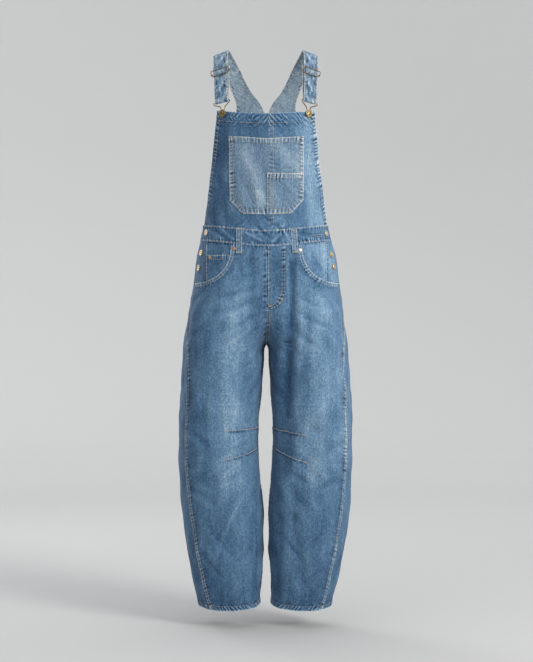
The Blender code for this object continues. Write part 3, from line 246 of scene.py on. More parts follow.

# Paler and darker places of the washed cloth: amount is added to the tone. The front's table also
# holds painted light and shade: paler on the side towards the key light, darker on the side turned
# from it and in the troughs of the folds
FRONT_FADES_AND_SHADE = (
    # x0, z0, x1, z1, half_width, amount
    (-0.085, -0.680, -0.092, -1.080, 0.0400, 0.15),
    (-0.105, -0.800, -0.100, -0.960, 0.0260, 0.08),
    (-0.080, -1.040, -0.092, -1.120, 0.0240, 0.07),
    (-0.066, -1.128, -0.136, -1.302, 0.0070, 0.07),
    (-0.170, -0.760, -0.185, -1.020, 0.0220, -0.07),
    (-0.150, -0.600, -0.160, -0.700, 0.0300, -0.03),
    (-0.020, -0.900, -0.020, -1.380, 0.0160, -0.07),
    (-0.100, -1.220, -0.110, -1.380, 0.0700, -0.06),
    (0.130, -0.640, 0.132, -1.060, 0.0380, 0.16),
    (0.105, -0.940, 0.112, -1.080, 0.0260, 0.09),
    (0.182, -0.660, 0.196, -1.020, 0.0220, 0.11),
    (0.052, -0.560, 0.040, -0.940, 0.0150, -0.10),
    (0.022, -0.780, 0.020, -1.000, 0.0150, -0.07),
    (0.018, -1.020, 0.020, -1.360, 0.0180, -0.10),
    (0.080, -1.200, 0.090, -1.360, 0.0700, -0.05),
    (-0.110, -0.640, -0.040, -0.615, 0.0120, 0.06),
    (-0.125, -0.682, -0.045, -0.650, 0.0100, 0.05),
    (0.085, -0.640, 0.160, -0.664, 0.0110, 0.06),
    (0.085, -0.682, 0.150, -0.716, 0.0100, 0.05),
    (0.052, -0.530, 0.054, -0.650, 0.0050, 0.12),
    (0.106, -0.190, 0.122, -0.430, 0.0260, 0.24),
    (-0.108, -0.190, -0.138, -0.430, 0.0260, -0.05),
    (-0.060, -0.260, -0.014, -0.396, 0.0200, 0.14),
    (-0.035, -0.250, -0.030, -0.300, 0.0200, 0.08),
    (0.025, -0.245, 0.078, -0.310, 0.0220, 0.10),
    (0.120, -0.500, 0.150, -0.540, 0.0200, 0.12),
)
BACK_FADES = (
    (0.085, -0.580, 0.090, -0.700, 0.0450, 0.16),
    (-0.085, -0.585, -0.090, -0.705, 0.0450, 0.15),
    (0.105, -0.800, 0.110, -0.980, 0.0340, 0.10),
    (-0.105, -0.800, -0.110, -0.990, 0.0340, 0.10),
    (0.100, -1.120, 0.100, -1.300, 0.0400, 0.05),
    (-0.100, -1.120, -0.100, -1.300, 0.0400, 0.05),
    (0.040, -0.230, 0.070, -0.400, 0.0400, 0.08),
    (-0.040, -0.230, -0.070, -0.400, 0.0400, 0.08),
)


def follow(heights, values, z):
    """Smooth curve through a table's rows, read at the heights z."""
    heights = np.asarray(heights)
    values = np.asarray(values)
    slopes = np.gradient(values, heights)
    z = np.clip(z, heights[0], heights[-1])
    low = np.clip(np.searchsorted(heights, z) - 1, 0, len(heights) - 2)
    span = heights[low + 1] - heights[low]
    t = (z - heights[low]) / span
    rise = values[low + 1] - values[low]
    curve = t * t * (3 - 2 * t)
    lead = t * (1 - t) ** 2 * slopes[low] * span
    trail = t * t * (t - 1) * slopes[low + 1] * span
    return values[low] + rise * curve + lead + trail


def section(side, z):
    """The sizes of the half section at each height, as a dictionary of arrays."""
    part = {name: follow(TABLE["z"], TABLE[name], z) for name in SECTION_COLUMNS[3:]}
    right = np.asarray(side) < 0
    part["out"] = np.where(right, follow(TABLE["z"], TABLE["out_r"], z),
                           follow(TABLE["z"], TABLE["out_l"], z))
    inseam = np.where(right, part["in_r"], part["in_l"])
    parted = np.sqrt(np.clip((CROTCH - z) / FORK_FLARE, 0, 1))
    part["inner"] = SEAM / 2 + (inseam - SEAM / 2) * parted
    for face, top in (("front", FORK_FRONT), ("back", FORK_BACK)):
        turned = np.clip((top - z) / (top - CROTCH), 0, 1)
        part["fork_" + face] = np.sqrt(1 - turned ** 2)
    part["core"] = np.maximum(part["core"], part["inner"])
    return part


def reach_in(part, face):
    """Half-width of the section towards the inseam."""
    n = part["power"]
    closed = (1 - part["fork_" + face] ** n) ** (1 / n)
    reach = (part["core"] - part["inner"]) / np.maximum(closed, 1e-6)
    return np.where(part["core"] - part["inner"] < 1e-4, part["out"] - part["core"], reach)


def surface(side, q, z):
    """Point of the smooth surface at q and z on one side, without its folds."""
    part = section(side, z)
    n = part["power"]
    half = math.pi / 2
    lead_front = np.arctan2(part["core"] - part["inner"], part["fork_front"] * part["front"])
    lead_back = np.arctan2(part["core"] - part["inner"], part["fork_back"] * part["back"])
    angle = np.where(q <= 1, -lead_front + (half + lead_front) * q,
                     half + (half + lead_back) * (q - 1))
    sine = np.sin(angle)
    cosine = np.cos(angle)
    inward = np.where(q <= 1, reach_in(part, "front"), reach_in(part, "back"))
    wide = np.where(sine > 0, part["out"] - part["core"], inward)
    deep = np.where(cosine > 0, part["front"], part["back"])
    radius = ((np.abs(sine) / wide) ** n + (np.abs(cosine) / deep) ** n) ** (-1 / n)
    x = side * (part["core"] + radius * sine)
    y = part["mid"] - radius * cosine
    return np.stack([x, y, z + 0 * x], axis=-1)


def surface_normal(side, q, z):
    """Outward direction of the smooth surface."""
    step = 1e-4
    along = surface(side, q + step, z) - surface(side, q - step, z)
    up = surface(side, q, z + step) - surface(side, q, z - step)
    out = np.cross(along, up) * np.asarray(side)[..., None]
    return out / np.linalg.norm(out, axis=-1, keepdims=True)


FOLD_JOIN = 6                   # how closely folds that meet keep the depth of the deeper one
FACE_CHANGE = 1.6               # how sharply the front's folds give way to the back's at the sides
CREASE_STEPS = 8
CREASE_REACH = 3.4              # a crease is felt this many half-widths away
CREASE_FADE = 0.7               # how softly it fades at its ends
SHOULDER = 0.34                 # height of the ridges beside a trough, as a share of its depth
SHOULDER_AT = 1.7               # where they lie, in half-widths
TINY = 1e-12


def beside(x, z, x0, z0, x1, z1):
    """Distance of flat points from the straight line between two ends."""
    run = np.array([x1 - x0, z1 - z0])
    share = ((x - x0) * run[0] + (z - z0) * run[1]) / max(run @ run, TINY)
    share = np.clip(share, 0, 1)
    return np.hypot(x - x0 - run[0] * share, z - z0 - run[1] * share)


def run_along(points):
    """How far along a run of points each of them lies."""
    return np.concatenate([[0], np.cumsum(np.linalg.norm(np.diff(points, axis=0), axis=1))])


def nearest_on_line(spots, line):
    """Distance from each spot to a run of points, and the share of its length where that is."""
    before = run_along(line)
    best = np.full(len(spots), np.inf)
    place = np.zeros(len(spots))
    for i in range(len(line) - 1):
        run = line[i + 1] - line[i]
        share = np.clip((spots - line[i]) @ run / max(run @ run, TINY), 0, 1)
        away = np.linalg.norm(spots - line[i] - share[:, None] * run, axis=1)
        closer = away < best
        best = np.where(closer, away, best)
        place = np.where(closer, before[i] + share * np.linalg.norm(run), place)
    return best, place / before[-1]


def fold_height(folds, x, z):
    """How far a table's large folds lift or sink the cloth at x and z."""
    total = np.zeros_like(x)
    for *ends, half_width, depth in folds:
        away = beside(x, z, *ends)
        total += (-depth / MM * np.exp(-(away / half_width) ** 2)) ** FOLD_JOIN
    return -MM * total ** (1 / FOLD_JOIN)


def crease_height(creases, x, z):
    """The same for finer creases, which fade at their ends and have a ridge on each side."""
    height = np.zeros_like(x)
    for x0, z0, x1, z1, bend, half_width, depth in creases:
        aside = abs(bend) + CREASE_REACH * half_width
        near = (x > min(x0, x1) - aside) & (x < max(x0, x1) + aside)
        near &= (z > min(z0, z1) - aside) & (z < max(z0, z1) + aside)
        if not near.any():
            continue
        start = np.array([x0, z0])
        end = np.array([x1, z1])
        run = end - start
        middle = (start + end) / 2 + np.array([-run[1], run[0]]) / np.hypot(*run) * 2 * bend
        t = np.linspace(0, 1, CREASE_STEPS + 1)[:, None]
        line = (1 - t) ** 2 * start + 2 * t * (1 - t) * middle + t * t * end
        away, share = nearest_on_line(np.stack([x[near], z[near]], axis=-1), line)
        fade = np.clip(4 * share * (1 - share), 0, 1) ** CREASE_FADE
        s = away / half_width
        form = np.exp(-s ** 2) - SHOULDER * np.exp(-(s - SHOULDER_AT) ** 2)
        height[near] += depth * fade * form
    return height


def frontness(normal):
    """1 where the cloth faces the front, 0 behind, and between them at the sides."""
    return np.clip(0.5 - normal[..., 1] * FACE_CHANGE, 0, 1)


def cloth_height(point, normal):
    """All folds and creases at points of the smooth surface."""
    ahead = frontness(normal)
    x = point[..., 0]
    z = point[..., 2]
    front = fold_height(FRONT_FOLDS, x, z) + crease_height(FRONT_CREASES, x, z)
    back = fold_height(BACK_FOLDS, x, z) + crease_height(BACK_CREASES, x, z)
    return front * ahead + back * (1 - ahead)


def fade_and_shade_at(point, normal):
    """How much paler or darker the washed cloth is at points of the smooth surface, with the front's
    painted light and shade.
    """
    ahead = frontness(normal)
    total = np.zeros_like(ahead)
    for fades, share in ((FRONT_FADES_AND_SHADE, ahead), (BACK_FADES, 1 - ahead)):
        for *ends, half_width, amount in fades:
            away = beside(point[..., 0], point[..., 2], *ends)
            total = total + share * amount * np.exp(-(away / half_width) ** 2)
    return total


def q_at(side, x, z):
    """The q of a point on the front, from its distance x to the middle plane."""
    side, x, z = np.broadcast_arrays(np.asarray(side, float), np.abs(x), np.asarray(z, float))
    part = section(side, z)
    n = part["power"]
    outside = x >= part["core"]
    wide = np.where(outside, part["out"] - part["core"], reach_in(part, "front"))
    share = np.clip(np.abs(x - part["core"]) / wide, 0, 1)
    angle = np.arctan2(share * wide, part["front"] * (1 - share ** n) ** (1 / n))
    angle = np.where(outside, angle, -angle)
    lead = np.arctan2(part["core"] - part["inner"], part["fork_front"] * part["front"])
    return (angle + lead) / (math.pi / 2 + lead)


def leg_spot(side, x, z):
    """The q and z of a point on the front, from its distance x to the middle plane."""
    return float(q_at(side, x, z)), z


def front_spot(x, z):
    """The same with the side's sign on q."""
    side = math.copysign(1.0, x)
    return side * float(q_at(side, x, z)), z


def outseam_q(z):
    """The q of the outseam at the height z."""
    heights, marks = zip(*OUTSEAM)
    return np.minimum(np.where(np.asarray(z) > SIDE_SEAM_LOW, 1.0, follow(heights, marks, z)), 1.0)


def waist_z(level, q):
    """Height of a line round the waist, lower in front and a little higher behind."""
    bow = np.cos(np.clip(q, 0, 2) * math.pi / 2)
    return level - FRONT_DIP * np.clip(bow, 0, 1) ** 2 + BACK_RISE * np.clip(-bow, 0, 1) ** 2


def hem_z(q):
    """Height of the leg's lower edge."""
    bow = np.sin(math.pi * q)
    dip = np.where(q < 1, HEM_DIP * bow, -HEM_BACK * HEM_DIP * bow)
    return HEM - dip - HEM_SIDE * np.minimum(q, 2 - q)


# How far round the garment a place lies, measured on the smooth surface
ARC_Z = np.linspace(-1.430, -0.120, 263)
ARC_Q = np.linspace(0.0, 2.0, 401)


def arc_table(side):
    """Distance round from q = 0 for each height and q."""
    q, z = np.meshgrid(ARC_Q, ARC_Z)
    spots = surface(np.full_like(q, side), q, z)
    steps = np.linalg.norm(np.diff(spots[..., :2], axis=1), axis=2)
    return np.concatenate([np.zeros((len(ARC_Z), 1)), np.cumsum(steps, axis=1)], axis=1)


ARC = np.stack([arc_table(side) for _, side in SIDES])


def arc(side, q, z):
    """Distance round from q = 0 at the height z."""
    side, q, z = np.broadcast_arrays(side, q, z)
    k = (side > 0).astype(int)
    row = np.clip((z - ARC_Z[0]) / (ARC_Z[1] - ARC_Z[0]), 0, len(ARC_Z) - 1.001)
    column = np.clip(q / (ARC_Q[1] - ARC_Q[0]), 0, len(ARC_Q) - 1.001)
    i = row.astype(int)
    j = column.astype(int)
    a = row - i
    b = column - j
    return ((1 - a) * (1 - b) * ARC[k, i, j] + a * (1 - b) * ARC[k, i + 1, j]
            + (1 - a) * b * ARC[k, i, j + 1] + a * b * ARC[k, i + 1, j + 1])


GRAIN = 0.100                   # distance of a leg panel's straight grain line from the middle
GRAIN_SAMPLES = 241


def grain_table(side, start, end):
    """The q of the straight grain line of one leg panel, at the heights of the arc table."""
    marks = np.linspace(start, end, GRAIN_SAMPLES)
    q, z = np.meshgrid(marks, ARC_Z)
    reach = np.abs(surface(np.full_like(q, side), q, z)[..., 0])
    way = 1.0 if end == 1.0 else -1.0
    return np.array([np.interp(way * GRAIN, way * row, marks) for row in reach])


GRAINS = {(kind, side): grain_table(side, *span) for _, side in SIDES
          for kind, span in (("leg_front", (0.0, 1.0)), ("leg_back", (1.0, 2.0)))}

# Finding u from a flat x, by steps towards it
ROLL_ROUNDS = 12
ROLL_WIDTH = 0.2                # flat x for each u, for the first guess
ROLL_STEP = 1e-3                # difference in u that gives the slope
ROLL_SLOPE = 0.02               # the least slope
ROLL_MOVE = 0.3                 # the largest step in u


class Face:
    """A face of the garment with flat coordinates: x runs round it in metres, z is the height.

    u is q with a sign for front and back faces, or q itself for one leg's panels."""

    def __init__(self, kind, side=1.0):
        self.kind = kind
        self.side = side

    def spot(self, u):
        """Side and q of the coordinate u."""
        if self.kind == "front":
            return np.where(u < 0, -1.0, 1.0), np.abs(u)
        if self.kind == "back":
            return np.where(u < 0, -1.0, 1.0), 2 - np.abs(u)
        return np.full_like(u, self.side), u

    def grain(self, z):
        """The q of a leg panel's straight grain line."""
        return np.interp(z, ARC_Z, GRAINS[self.kind, self.side])

    def unroll(self, u, z):
        """Flat x of the coordinates u and z."""
        u = np.asarray(u, float)
        z = np.asarray(z, float)
        side, q = self.spot(u)
        if self.kind == "front":
            return side * arc(side, q, z)
        if self.kind == "back":
            return side * (arc(side, np.full_like(q, 2.0), z) - arc(side, q, z))
        return arc(side, q, z) - arc(side, self.grain(z), z)

    def roll(self, x, z):
        """The coordinate u of a flat x."""
        x = np.asarray(x, float)
        z = np.asarray(z, float)
        u = self.grain(z) + 0 * x if self.kind.startswith("leg") else x / ROLL_WIDTH
        for _ in range(ROLL_ROUNDS):
            slope = (self.unroll(u + ROLL_STEP, z) - self.unroll(u - ROLL_STEP, z)) / (2 * ROLL_STEP)
            move = (x - self.unroll(u, z)) / np.maximum(slope, ROLL_SLOPE)
            u = u + np.clip(move, -ROLL_MOVE, ROLL_MOVE)
        return u

    def flat(self, line):
        """A line of u and z as flat points."""
        u = np.array([spot[0] for spot in line])
        z = np.array([spot[1] for spot in line])
        return np.stack([self.unroll(u, z), z], axis=1)


def waves(x, z, seed, count, short, long, squeeze=1.0):
    """Sum of seeded plane waves with lengths from short to long, about 1 high."""
    draw = np.random.default_rng(seed)
    total = np.zeros_like(x)
    for _ in range(count):
        length = short * (long / short) ** draw.random()
        turn = draw.random() * 2 * math.pi
        phase = draw.random() * 2 * math.pi
        total += np.sin(2 * math.pi / length
                        * (x * math.cos(turn) + z * squeeze * math.sin(turn)) + phase)
    return total / math.sqrt(count / 2)


MEET = 0.02 * MM                # how near a shell comes to the middle plane
HALF_Q = 0.0001                 # and its edge, in q
EDGE_FINE = 0.011               # width of the strip along the edges with closer points
EDGE_CLEAR = 0.45               # how near the edge an inner point may lie, in spacings
GRID = (0.0040, 0.0020)         # spacing of a shell's points, and of those along its edges
LOOP_GRID = (1.5 * MM, 1.5 * MM)

# How far out a piece lies, as in the solids
FACING_LIFT = -(CLOTH + 0.9 * MM)
COIN_LIFT = FACING_LIFT + LAYER + THIN
POCKET_LIFT = LAYER + THIN
BAND_LIFT = 0.6 * MM
LOOP_THICK = 1.8 * MM
LOOP_LIFT = BAND_LIFT + 0.4 * MM + LOOP_THICK

# Rows of these tables hold for every piece whose name begins so
PIECES = (
    # piece, lift, thickness, tone, rumples in mm, width of worn edges, grid, worn lines
    ("leg_front", 0.0, CLOTH, 0.0, 0.8, 1.6, GRID, ("hem", "rim")),
    ("leg_back", 0.0, CLOTH, -0.03, 0.9, 1.0, GRID, ("hem",)),
    # Right pieces darker and left pieces paler: painted shade on the side turned from the key light,
    # painted light on the side towards it
    ("hip_facing_R", FACING_LIFT, THIN, -0.06, 0.4, 1.0, GRID, ()),
    ("hip_facing_L", FACING_LIFT, THIN, 0.09, 0.4, 1.0, GRID, ()),
    ("side_placket_R", 0.0, THIN, -0.06, 0.4, 1.0, GRID, ("inner",)),
    ("side_placket_L", 0.0, THIN, 0.10, 0.4, 1.0, GRID, ("inner",)),
    ("coin_pocket_R", COIN_LIFT, THIN, 0.0, 0.3, 1.0, GRID, ("top",)),
    ("fly_placket", POCKET_LIFT, THIN, 0.0, 0.8, 1.0, GRID, ("inner",)),
    ("waistband", BAND_LIFT, DOUBLE, -0.03, 0.5, 1.0, GRID, ("low", "top")),
    ("belt_loop", LOOP_LIFT, LOOP_THICK, 0.16, 0.2, 1.0, LOOP_GRID, ("left", "right")),
    ("bib_front_R", 0.0, CLOTH, -0.05, 0.7, 1.0, GRID, ("top", "edge")),
    ("bib_front_L", 0.0, CLOTH, 0.01, 0.7, 1.0, GRID, ("top", "edge")),
    ("bib_pocket", POCKET_LIFT, THIN, 0.10, 0.7, 1.0, GRID, ("top", "rest")),
    ("bib_pencil_pocket", 2 * POCKET_LIFT, THIN, 0.14, 0.7, 1.0, GRID, ("top", "rest", "inner")),
    ("back_bib", 0.0, CLOTH, 0.0, 0.8, 1.0, GRID, ("edge", "top")),
)
# Hems and seams: cloth thicker within the width, and puckered along the line
BANDS = (
    # piece, line, width, height in mm, pucker in mm, pitch, skew, tone
    ("leg_front", "hem", 0.0115, 0.70, 0.65, 0.0095, 0.70, 0.08),
    ("leg_front", "mouth", 0.0110, 0.70, 0.45, 0.0075, 0.15, 0.10),
    # The left outseam's paler tone is painted light, the right one's darker tone painted shade
    ("leg_front_R", "seam", 0.0085, 0.70, 0.48, 0.0090, 0.15, 0.06),
    ("leg_front_L", "seam", 0.0085, 0.70, 0.48, 0.0090, 0.15, 0.12),
    ("leg_front", "high_dart", 0.0030, 0.35, 0.22, 0.0100, 0.15, 0.03),
    ("leg_front", "low_dart", 0.0030, 0.35, 0.22, 0.0100, 0.15, 0.03),
    ("leg_front", "fell", 0.0040, 0.30, 0.35, 0.0130, 0.15, 0.0),
    ("leg_front", "waist", 0.0020, 0.0, 0.45, 0.0100, 0.15, 0.0),
    ("leg_back", "hem", 0.0115, 0.70, 0.80, 0.0095, 0.15, 0.10),
    ("leg_back", "seam", 0.0060, -2.20, 0.25, 0.0110, 0.15, 0.0),
    ("leg_back", "fell", 0.0075, 0.60, 0.35, 0.0120, 0.15, 0.0),
    ("leg_back", "waist", 0.0020, 0.0, 0.45, 0.0100, 0.15, 0.0),
    ("hip_facing", "top", 0.0020, 0.0, 0.30, 0.0090, 0.15, 0.0),
    ("side_placket", "outer", 0.0040, 0.20, 0.30, 0.0075, 0.15, 0.0),
    ("side_placket", "inner", 0.0050, 0.20, 0.30, 0.0075, 0.15, 0.0),
    ("coin_pocket_R", "top", 0.0110, 0.50, 0.30, 0.0075, 0.15, 0.0),
    ("fly_placket", "inner", 0.0030, 0.30, 0.30, 0.0110, 0.15, 0.0),
    ("fly_placket", "outer", 0.0070, 0.20, 0.55, 0.0100, 0.15, 0.0),
    ("belt_loop", "left", 0.0028, 0.25, 0.18, 0.0060, 0.15, -0.05),
    ("belt_loop", "right", 0.0028, 0.25, 0.18, 0.0060, 0.15, -0.05),
    ("waistband", "low", 0.0060, 0.30, 0.55, 0.0090, 0.15, 0.04),
    ("waistband", "top", 0.0060, 0.30, 0.55, 0.0090, 0.15, 0.04),
    ("bib_front", "top", 0.0245, 0.70, 0.90, 0.0098, 0.70, 0.06),
    ("bib_front", "edge", 0.0110, 0.70, 0.85, 0.0095, 0.15, 0.06),
    ("bib_front_L", "seam", 0.0150, 0.60, 0.25, 0.0100, 0.15, 0.0),
    ("bib_pocket", "top", 0.0120, 0.70, 0.60, 0.0085, 0.15, 0.08),
    ("bib_pocket", "rest", 0.0095, 0.20, 0.50, 0.0088, 0.15, 0.05),
    ("bib_pocket_L", "seam", 0.0150, 0.50, 0.20, 0.0100, 0.15, 0.0),
    ("bib_pencil_pocket", "top", 0.0120, 0.70, 0.50, 0.0085, 0.15, 0.08),
    ("bib_pencil_pocket", "rest", 0.0095, 0.20, 0.45, 0.0088, 0.15, 0.05),
    ("bib_pencil_pocket", "inner", 0.0030, 0.20, 0.20, 0.0075, 0.15, 0.0),
    ("back_bib", "edge", 0.0110, 0.70, 0.35, 0.0075, 0.15, 0.0),
    ("back_bib", "seam", 0.0060, 0.60, 0.25, 0.0100, 0.15, 0.0),
    ("back_bib", "top", 0.0050, 0.60, 0.35, 0.0075, 0.15, 0.0),
)

# Relief along hems and seams
HEM_SOFT = 0.25 * MM            # softness of a hem's inner edge
BAND_REACH = 0.012              # how far beyond three widths a band is felt
GROOVE_WIDE = 0.9 * MM          # the groove along a seam
GROOVE_DEEP = 0.25 * MM
SEAM_GROOVE_SHADE = 0.14                # painted shade: how much darker it is
PUCKER_TONE = 0.62              # painted shade: how much darker a pucker's hollow is, for each millimetre
PUCKER_DEEP = 0.75              # of this many millimetres at most
PUCKER_PALE = 0.38              # how much of that its ridge is paler
PUCKER_DRIFT = 0.0022           # how far puckers stray along the line
PUCKER_AT = 0.75                # where they are highest, in widths from the line
PUCKER_SPREAD = 0.55            # how far they spread, in widths
PUCKER_BEYOND = 0.003           # and in metres more
SECOND_WAVE = (0.35, 1.63, 2.1)         # height, pace and start of the smaller wave in a pucker
MEAN_STRENGTH = 0.75            # mean strength of the puckers
STRENGTH_SHARE = 0.45           # and how much it changes along the line
STRENGTH_LIMITS = (0.45, 1.5)
STRENGTH_SEED = 50
# Seeded waves: count, shortest and longest
DRIFT_WAVES = (6, 0.016, 0.090)
STRENGTH_WAVES = (5, 0.020, 0.120)
RUMPLE_SEED = 11
RUMPLE_WAVES = (16, 0.028, 0.110, 0.7)  # and how much they are squeezed upward


def pucker_wave(phase):
    """The uneven wave of a puckered seam."""
    height, pace, start = SECOND_WAVE
    return np.sin(phase) + height * np.sin(pace * phase + start)


def pucker_wear_and_shade(wave):
    """How pale or dark a pucker is: its worn ridge is paled, and its hollow is darkened more, with
    painted shade.
    """
    return np.where(wave > 0, PUCKER_PALE, 1.0) * wave


class Panel:
    """A piece of cloth on a face: its flat outline and lines, its place and its relief."""

    def __init__(self, name, face, outline, lines):
        self.name = name
        self.face = face
        self.flat = face.flat(outline)
        self.lines = {key: face.flat(line) for key, line in lines.items()}
        row = next(row for row in PIECES if name.startswith(row[0]))
        _, self.lift, self.thickness, self.tone, rumple, self.rim, grid, worn = row
        self.rumple = rumple * MM
        self.step, self.fine = grid
        self.worn = [self.lines[key] for key in worn]
        self.bands = [(self.lines[key], *sizes) for piece, key, *sizes in BANDS
                      if name.startswith(piece)]
        self.hills = []
        self.seed = sum(ord(letter) * (i + 1) for i, letter in enumerate(name))

    def hill(self, start, end, reach, rise, tone):
        """A swelling or hollow along a straight line of flat points."""
        self.hills.append((np.array([start, end]), reach, rise, tone))

    def relief(self, x, z):
        """Height and tone that hills, hems and seams add at flat points."""
        spots = np.stack([x, z], axis=1)
        height = np.zeros(len(x))
        tone = np.zeros(len(x))
        for line, reach, rise, shade in self.hills:
            share = np.exp(-(nearest_on_line(spots, line)[0] / reach) ** 2)
            height += rise * share
            tone += shade * share
        for k, (line, width, high, pucker, pitch, skew, shade) in enumerate(self.bands):
            away, share = nearest_on_line(spots, line)
            near = away < width * 3 + BAND_REACH
            if not near.any():
                continue
            a = away[near]
            r = share[near] * run_along(line)[-1]
            inside = 1 / (1 + np.exp((a - width) / HEM_SOFT))
            drift = waves(r, 0 * r, self.seed + k, *DRIFT_WAVES)
            strength = waves(r, 0 * r, self.seed + k + STRENGTH_SEED, *STRENGTH_WAVES)
            strength = np.clip(MEAN_STRENGTH + STRENGTH_SHARE * strength, *STRENGTH_LIMITS)
            phase = 2 * math.pi * (r + skew * a + PUCKER_DRIFT * drift) / pitch
            reach = width * PUCKER_SPREAD + PUCKER_BEYOND
            spread = np.exp(-((a - width * PUCKER_AT) / reach) ** 2)
            wave = pucker_wave(phase) * spread * strength
            shine = pucker_wear_and_shade(wave) * min(pucker, PUCKER_DEEP)
            groove = np.exp(-((a - width) / GROOVE_WIDE) ** 2)
            height[near] += high * MM * inside + pucker * MM * wave - GROOVE_DEEP * groove
            tone[near] += shade * inside + PUCKER_TONE * shine - SEAM_GROOVE_SHADE * groove
        return height, tone

    def place(self, u, z, lift):
        """Points of the finished cloth, with its relief, moved out by lift."""
        side, q = self.face.spot(u)
        point = surface(side, q, z)
        normal = surface_normal(side, q, z)
        x = self.face.unroll(u, z)
        height = cloth_height(point, normal)
        height = height + self.rumple * waves(x, z, RUMPLE_SEED, *RUMPLE_WAVES)
        out = point + normal * (height + self.relief(x, z)[0] + lift)[..., None]
        out[..., 0] = side * np.maximum(side * out[..., 0], MEET)
        return out, point, normal

    def at_flat(self, line, lift=0.0):
        """Points and outward directions on the cloth along a line of flat points."""
        line = np.asarray(line)
        u = self.face.roll(line[:, 0], line[:, 1])
        spots, _, normal = self.place(u, line[:, 1], np.full(len(u), self.lift + lift))
        return spots, normal


def polygon_tests(polygon, spots):
    """Whether flat spots lie inside a polygon, and how far from its edge."""
    x = spots[:, 0]
    z = spots[:, 1]
    inside = np.zeros(len(spots), bool)
    away = np.full(len(spots), np.inf)
    for (x0, z0), (x1, z1) in zip(polygon, np.roll(polygon, -1, axis=0)):
        away = np.minimum(away, beside(x, z, x0, z0, x1, z1))
        if z0 != z1:
            crosses = (z0 > z) != (z1 > z)
            inside ^= crosses & (x < x0 + (z - z0) / (z1 - z0) * (x1 - x0))
    return inside, away


def flat_mesh(panel):
    """Points and triangles of a panel in flat coordinates, with the count of edge points."""
    edge = []
    for start, end in zip(panel.flat, np.roll(panel.flat, -1, axis=0)):
        pieces = max(1, math.ceil(np.linalg.norm(end - start) / panel.fine))
        edge += [start + (end - start) * i / pieces for i in range(pieces)]
    edge = np.array(edge)
    low = panel.flat.min(axis=0)
    high = panel.flat.max(axis=0)
    columns = np.arange(math.ceil(low[0] / panel.fine), math.floor(high[0] / panel.fine) + 1)
    rows = np.arange(math.ceil(low[1] / panel.fine), math.floor(high[1] / panel.fine) + 1)
    i, j = np.meshgrid(columns, rows)
    i = i.ravel()
    j = j.ravel()
    spots = np.stack([(i + 0.5 * (j % 2)) * panel.fine, j * panel.fine], axis=1)
    inside, away = polygon_tests(panel.flat, spots)
    every = round(panel.step / panel.fine)
    coarse = (i % every == 0) & (j % every == 0)
    keep = inside & (away > EDGE_CLEAR * panel.fine) & (coarse | (away < EDGE_FINE))
    spots = spots[keep]
    points = np.concatenate([edge, spots])
    found, _, faces, _, _, _ = delaunay_2d_cdt(
        [Vector(spot) for spot in points], [], [list(range(len(edge)))], 1, 1e-7)
    flat = np.array([(spot[0], spot[1]) for spot in found])
    return flat, np.array([face for face in faces if len(face) == 3])


RIM_ANGLE = math.radians(62)    # steeper edges than this are shaded sharp


def edges_of(faces):
    """The edges of triangles, each as its start and end."""
    return np.concatenate([faces[:, [0, 1]], faces[:, [1, 2]], faces[:, [2, 0]]])


def halved(quads):
    """Faces with four corners as triangles."""
    return np.concatenate([quads[:, [0, 1, 2]], quads[:, [0, 2, 3]]])


def tube_quads(rings, segments):
    """Faces with four corners between rings that have the same number of points."""
    ring, k = np.divmod(np.arange((rings - 1) * segments), segments)
    here = ring * segments + k
    beyond = ring * segments + (k + 1) % segments
    return np.stack([here, beyond, beyond + segments, here + segments], axis=1)


def cap(first, segments):
    """A fan of triangles over the ring of points that begins at first."""
    k = np.arange(1, segments - 1)
    return first + np.stack([0 * k, k + 1, k], axis=1)


def facing_out(faces, points, out):
    """The triangles, all turned over if they face against the directions out."""
    a, b, c = (points[faces[:, k]] for k in range(3))
    against = (np.cross(b - a, c - a) * out[faces[:, 0]]).sum() < 0
    return faces[:, ::-1] if against else faces


def closed_shell(name, outer, inner, faces):
    """A closed mesh from an outer and an inner layer with the same triangles."""
    count = len(outer)
    pairs = edges_of(faces)
    keys = pairs[:, 0] * count + pairs[:, 1]
    back = pairs[:, 1] * count + pairs[:, 0]
    rim = pairs[~np.isin(keys, back)]
    quads = np.stack([rim[:, 1], rim[:, 0], rim[:, 0] + count, rim[:, 1] + count], axis=1)
    triangles = np.concatenate([faces, faces[:, ::-1] + count, halved(quads)])
    mesh = mesh_from(name, np.concatenate([outer, inner]), triangles)
    mesh.set_sharp_from_angle(angle=RIM_ANGLE)
    return mesh


def mesh_from(name, points, polygons):
    """A mesh from arrays of points and of polygons with the same number of corners."""
    mesh = bpy.data.meshes.new(name)
    corners = polygons.shape[1]
    mesh.vertices.add(len(points))
    mesh.vertices.foreach_set("co", points.astype(np.float32).ravel())
    mesh.loops.add(polygons.size)
    mesh.loops.foreach_set("vertex_index", polygons.astype(np.int32).ravel())
    mesh.polygons.add(len(polygons))
    mesh.polygons.foreach_set("loop_start", np.arange(0, polygons.size, corners, dtype=np.int32))
    mesh.update(calc_edges=True)
    mesh.validate()
    mesh.shade_smooth()
    return mesh


def point_values(mesh, name, values):
    """Store one number for each point of a mesh."""
    mesh.attributes.new(name, "FLOAT", "POINT").data.foreach_set("value", values.astype(np.float32))


def weave_map(mesh, flat):
    """Store flat coordinates, in metres, as the mesh's UV map."""
    layer = mesh.uv_layers.new(name="weave")
    index = np.zeros(len(mesh.loops), np.int32)
    mesh.loops.foreach_get("vertex_index", index)
    layer.data.foreach_set("uv", flat[index].astype(np.float32).ravel())


def bulge(points, normals, faces):
    """How much each point stands proud of its neighbours, over the square of their distance."""
    pairs = edges_of(faces)
    run = points[pairs[:, 1]] - points[pairs[:, 0]]
    square = np.maximum((run ** 2).sum(axis=1), 1e-9)
    rise = -(run * normals[pairs[:, 0]]).sum(axis=1) / square
    total = np.bincount(pairs[:, 0], rise, len(points))
    return total / np.maximum(np.bincount(pairs[:, 0], minlength=len(points)), 1)


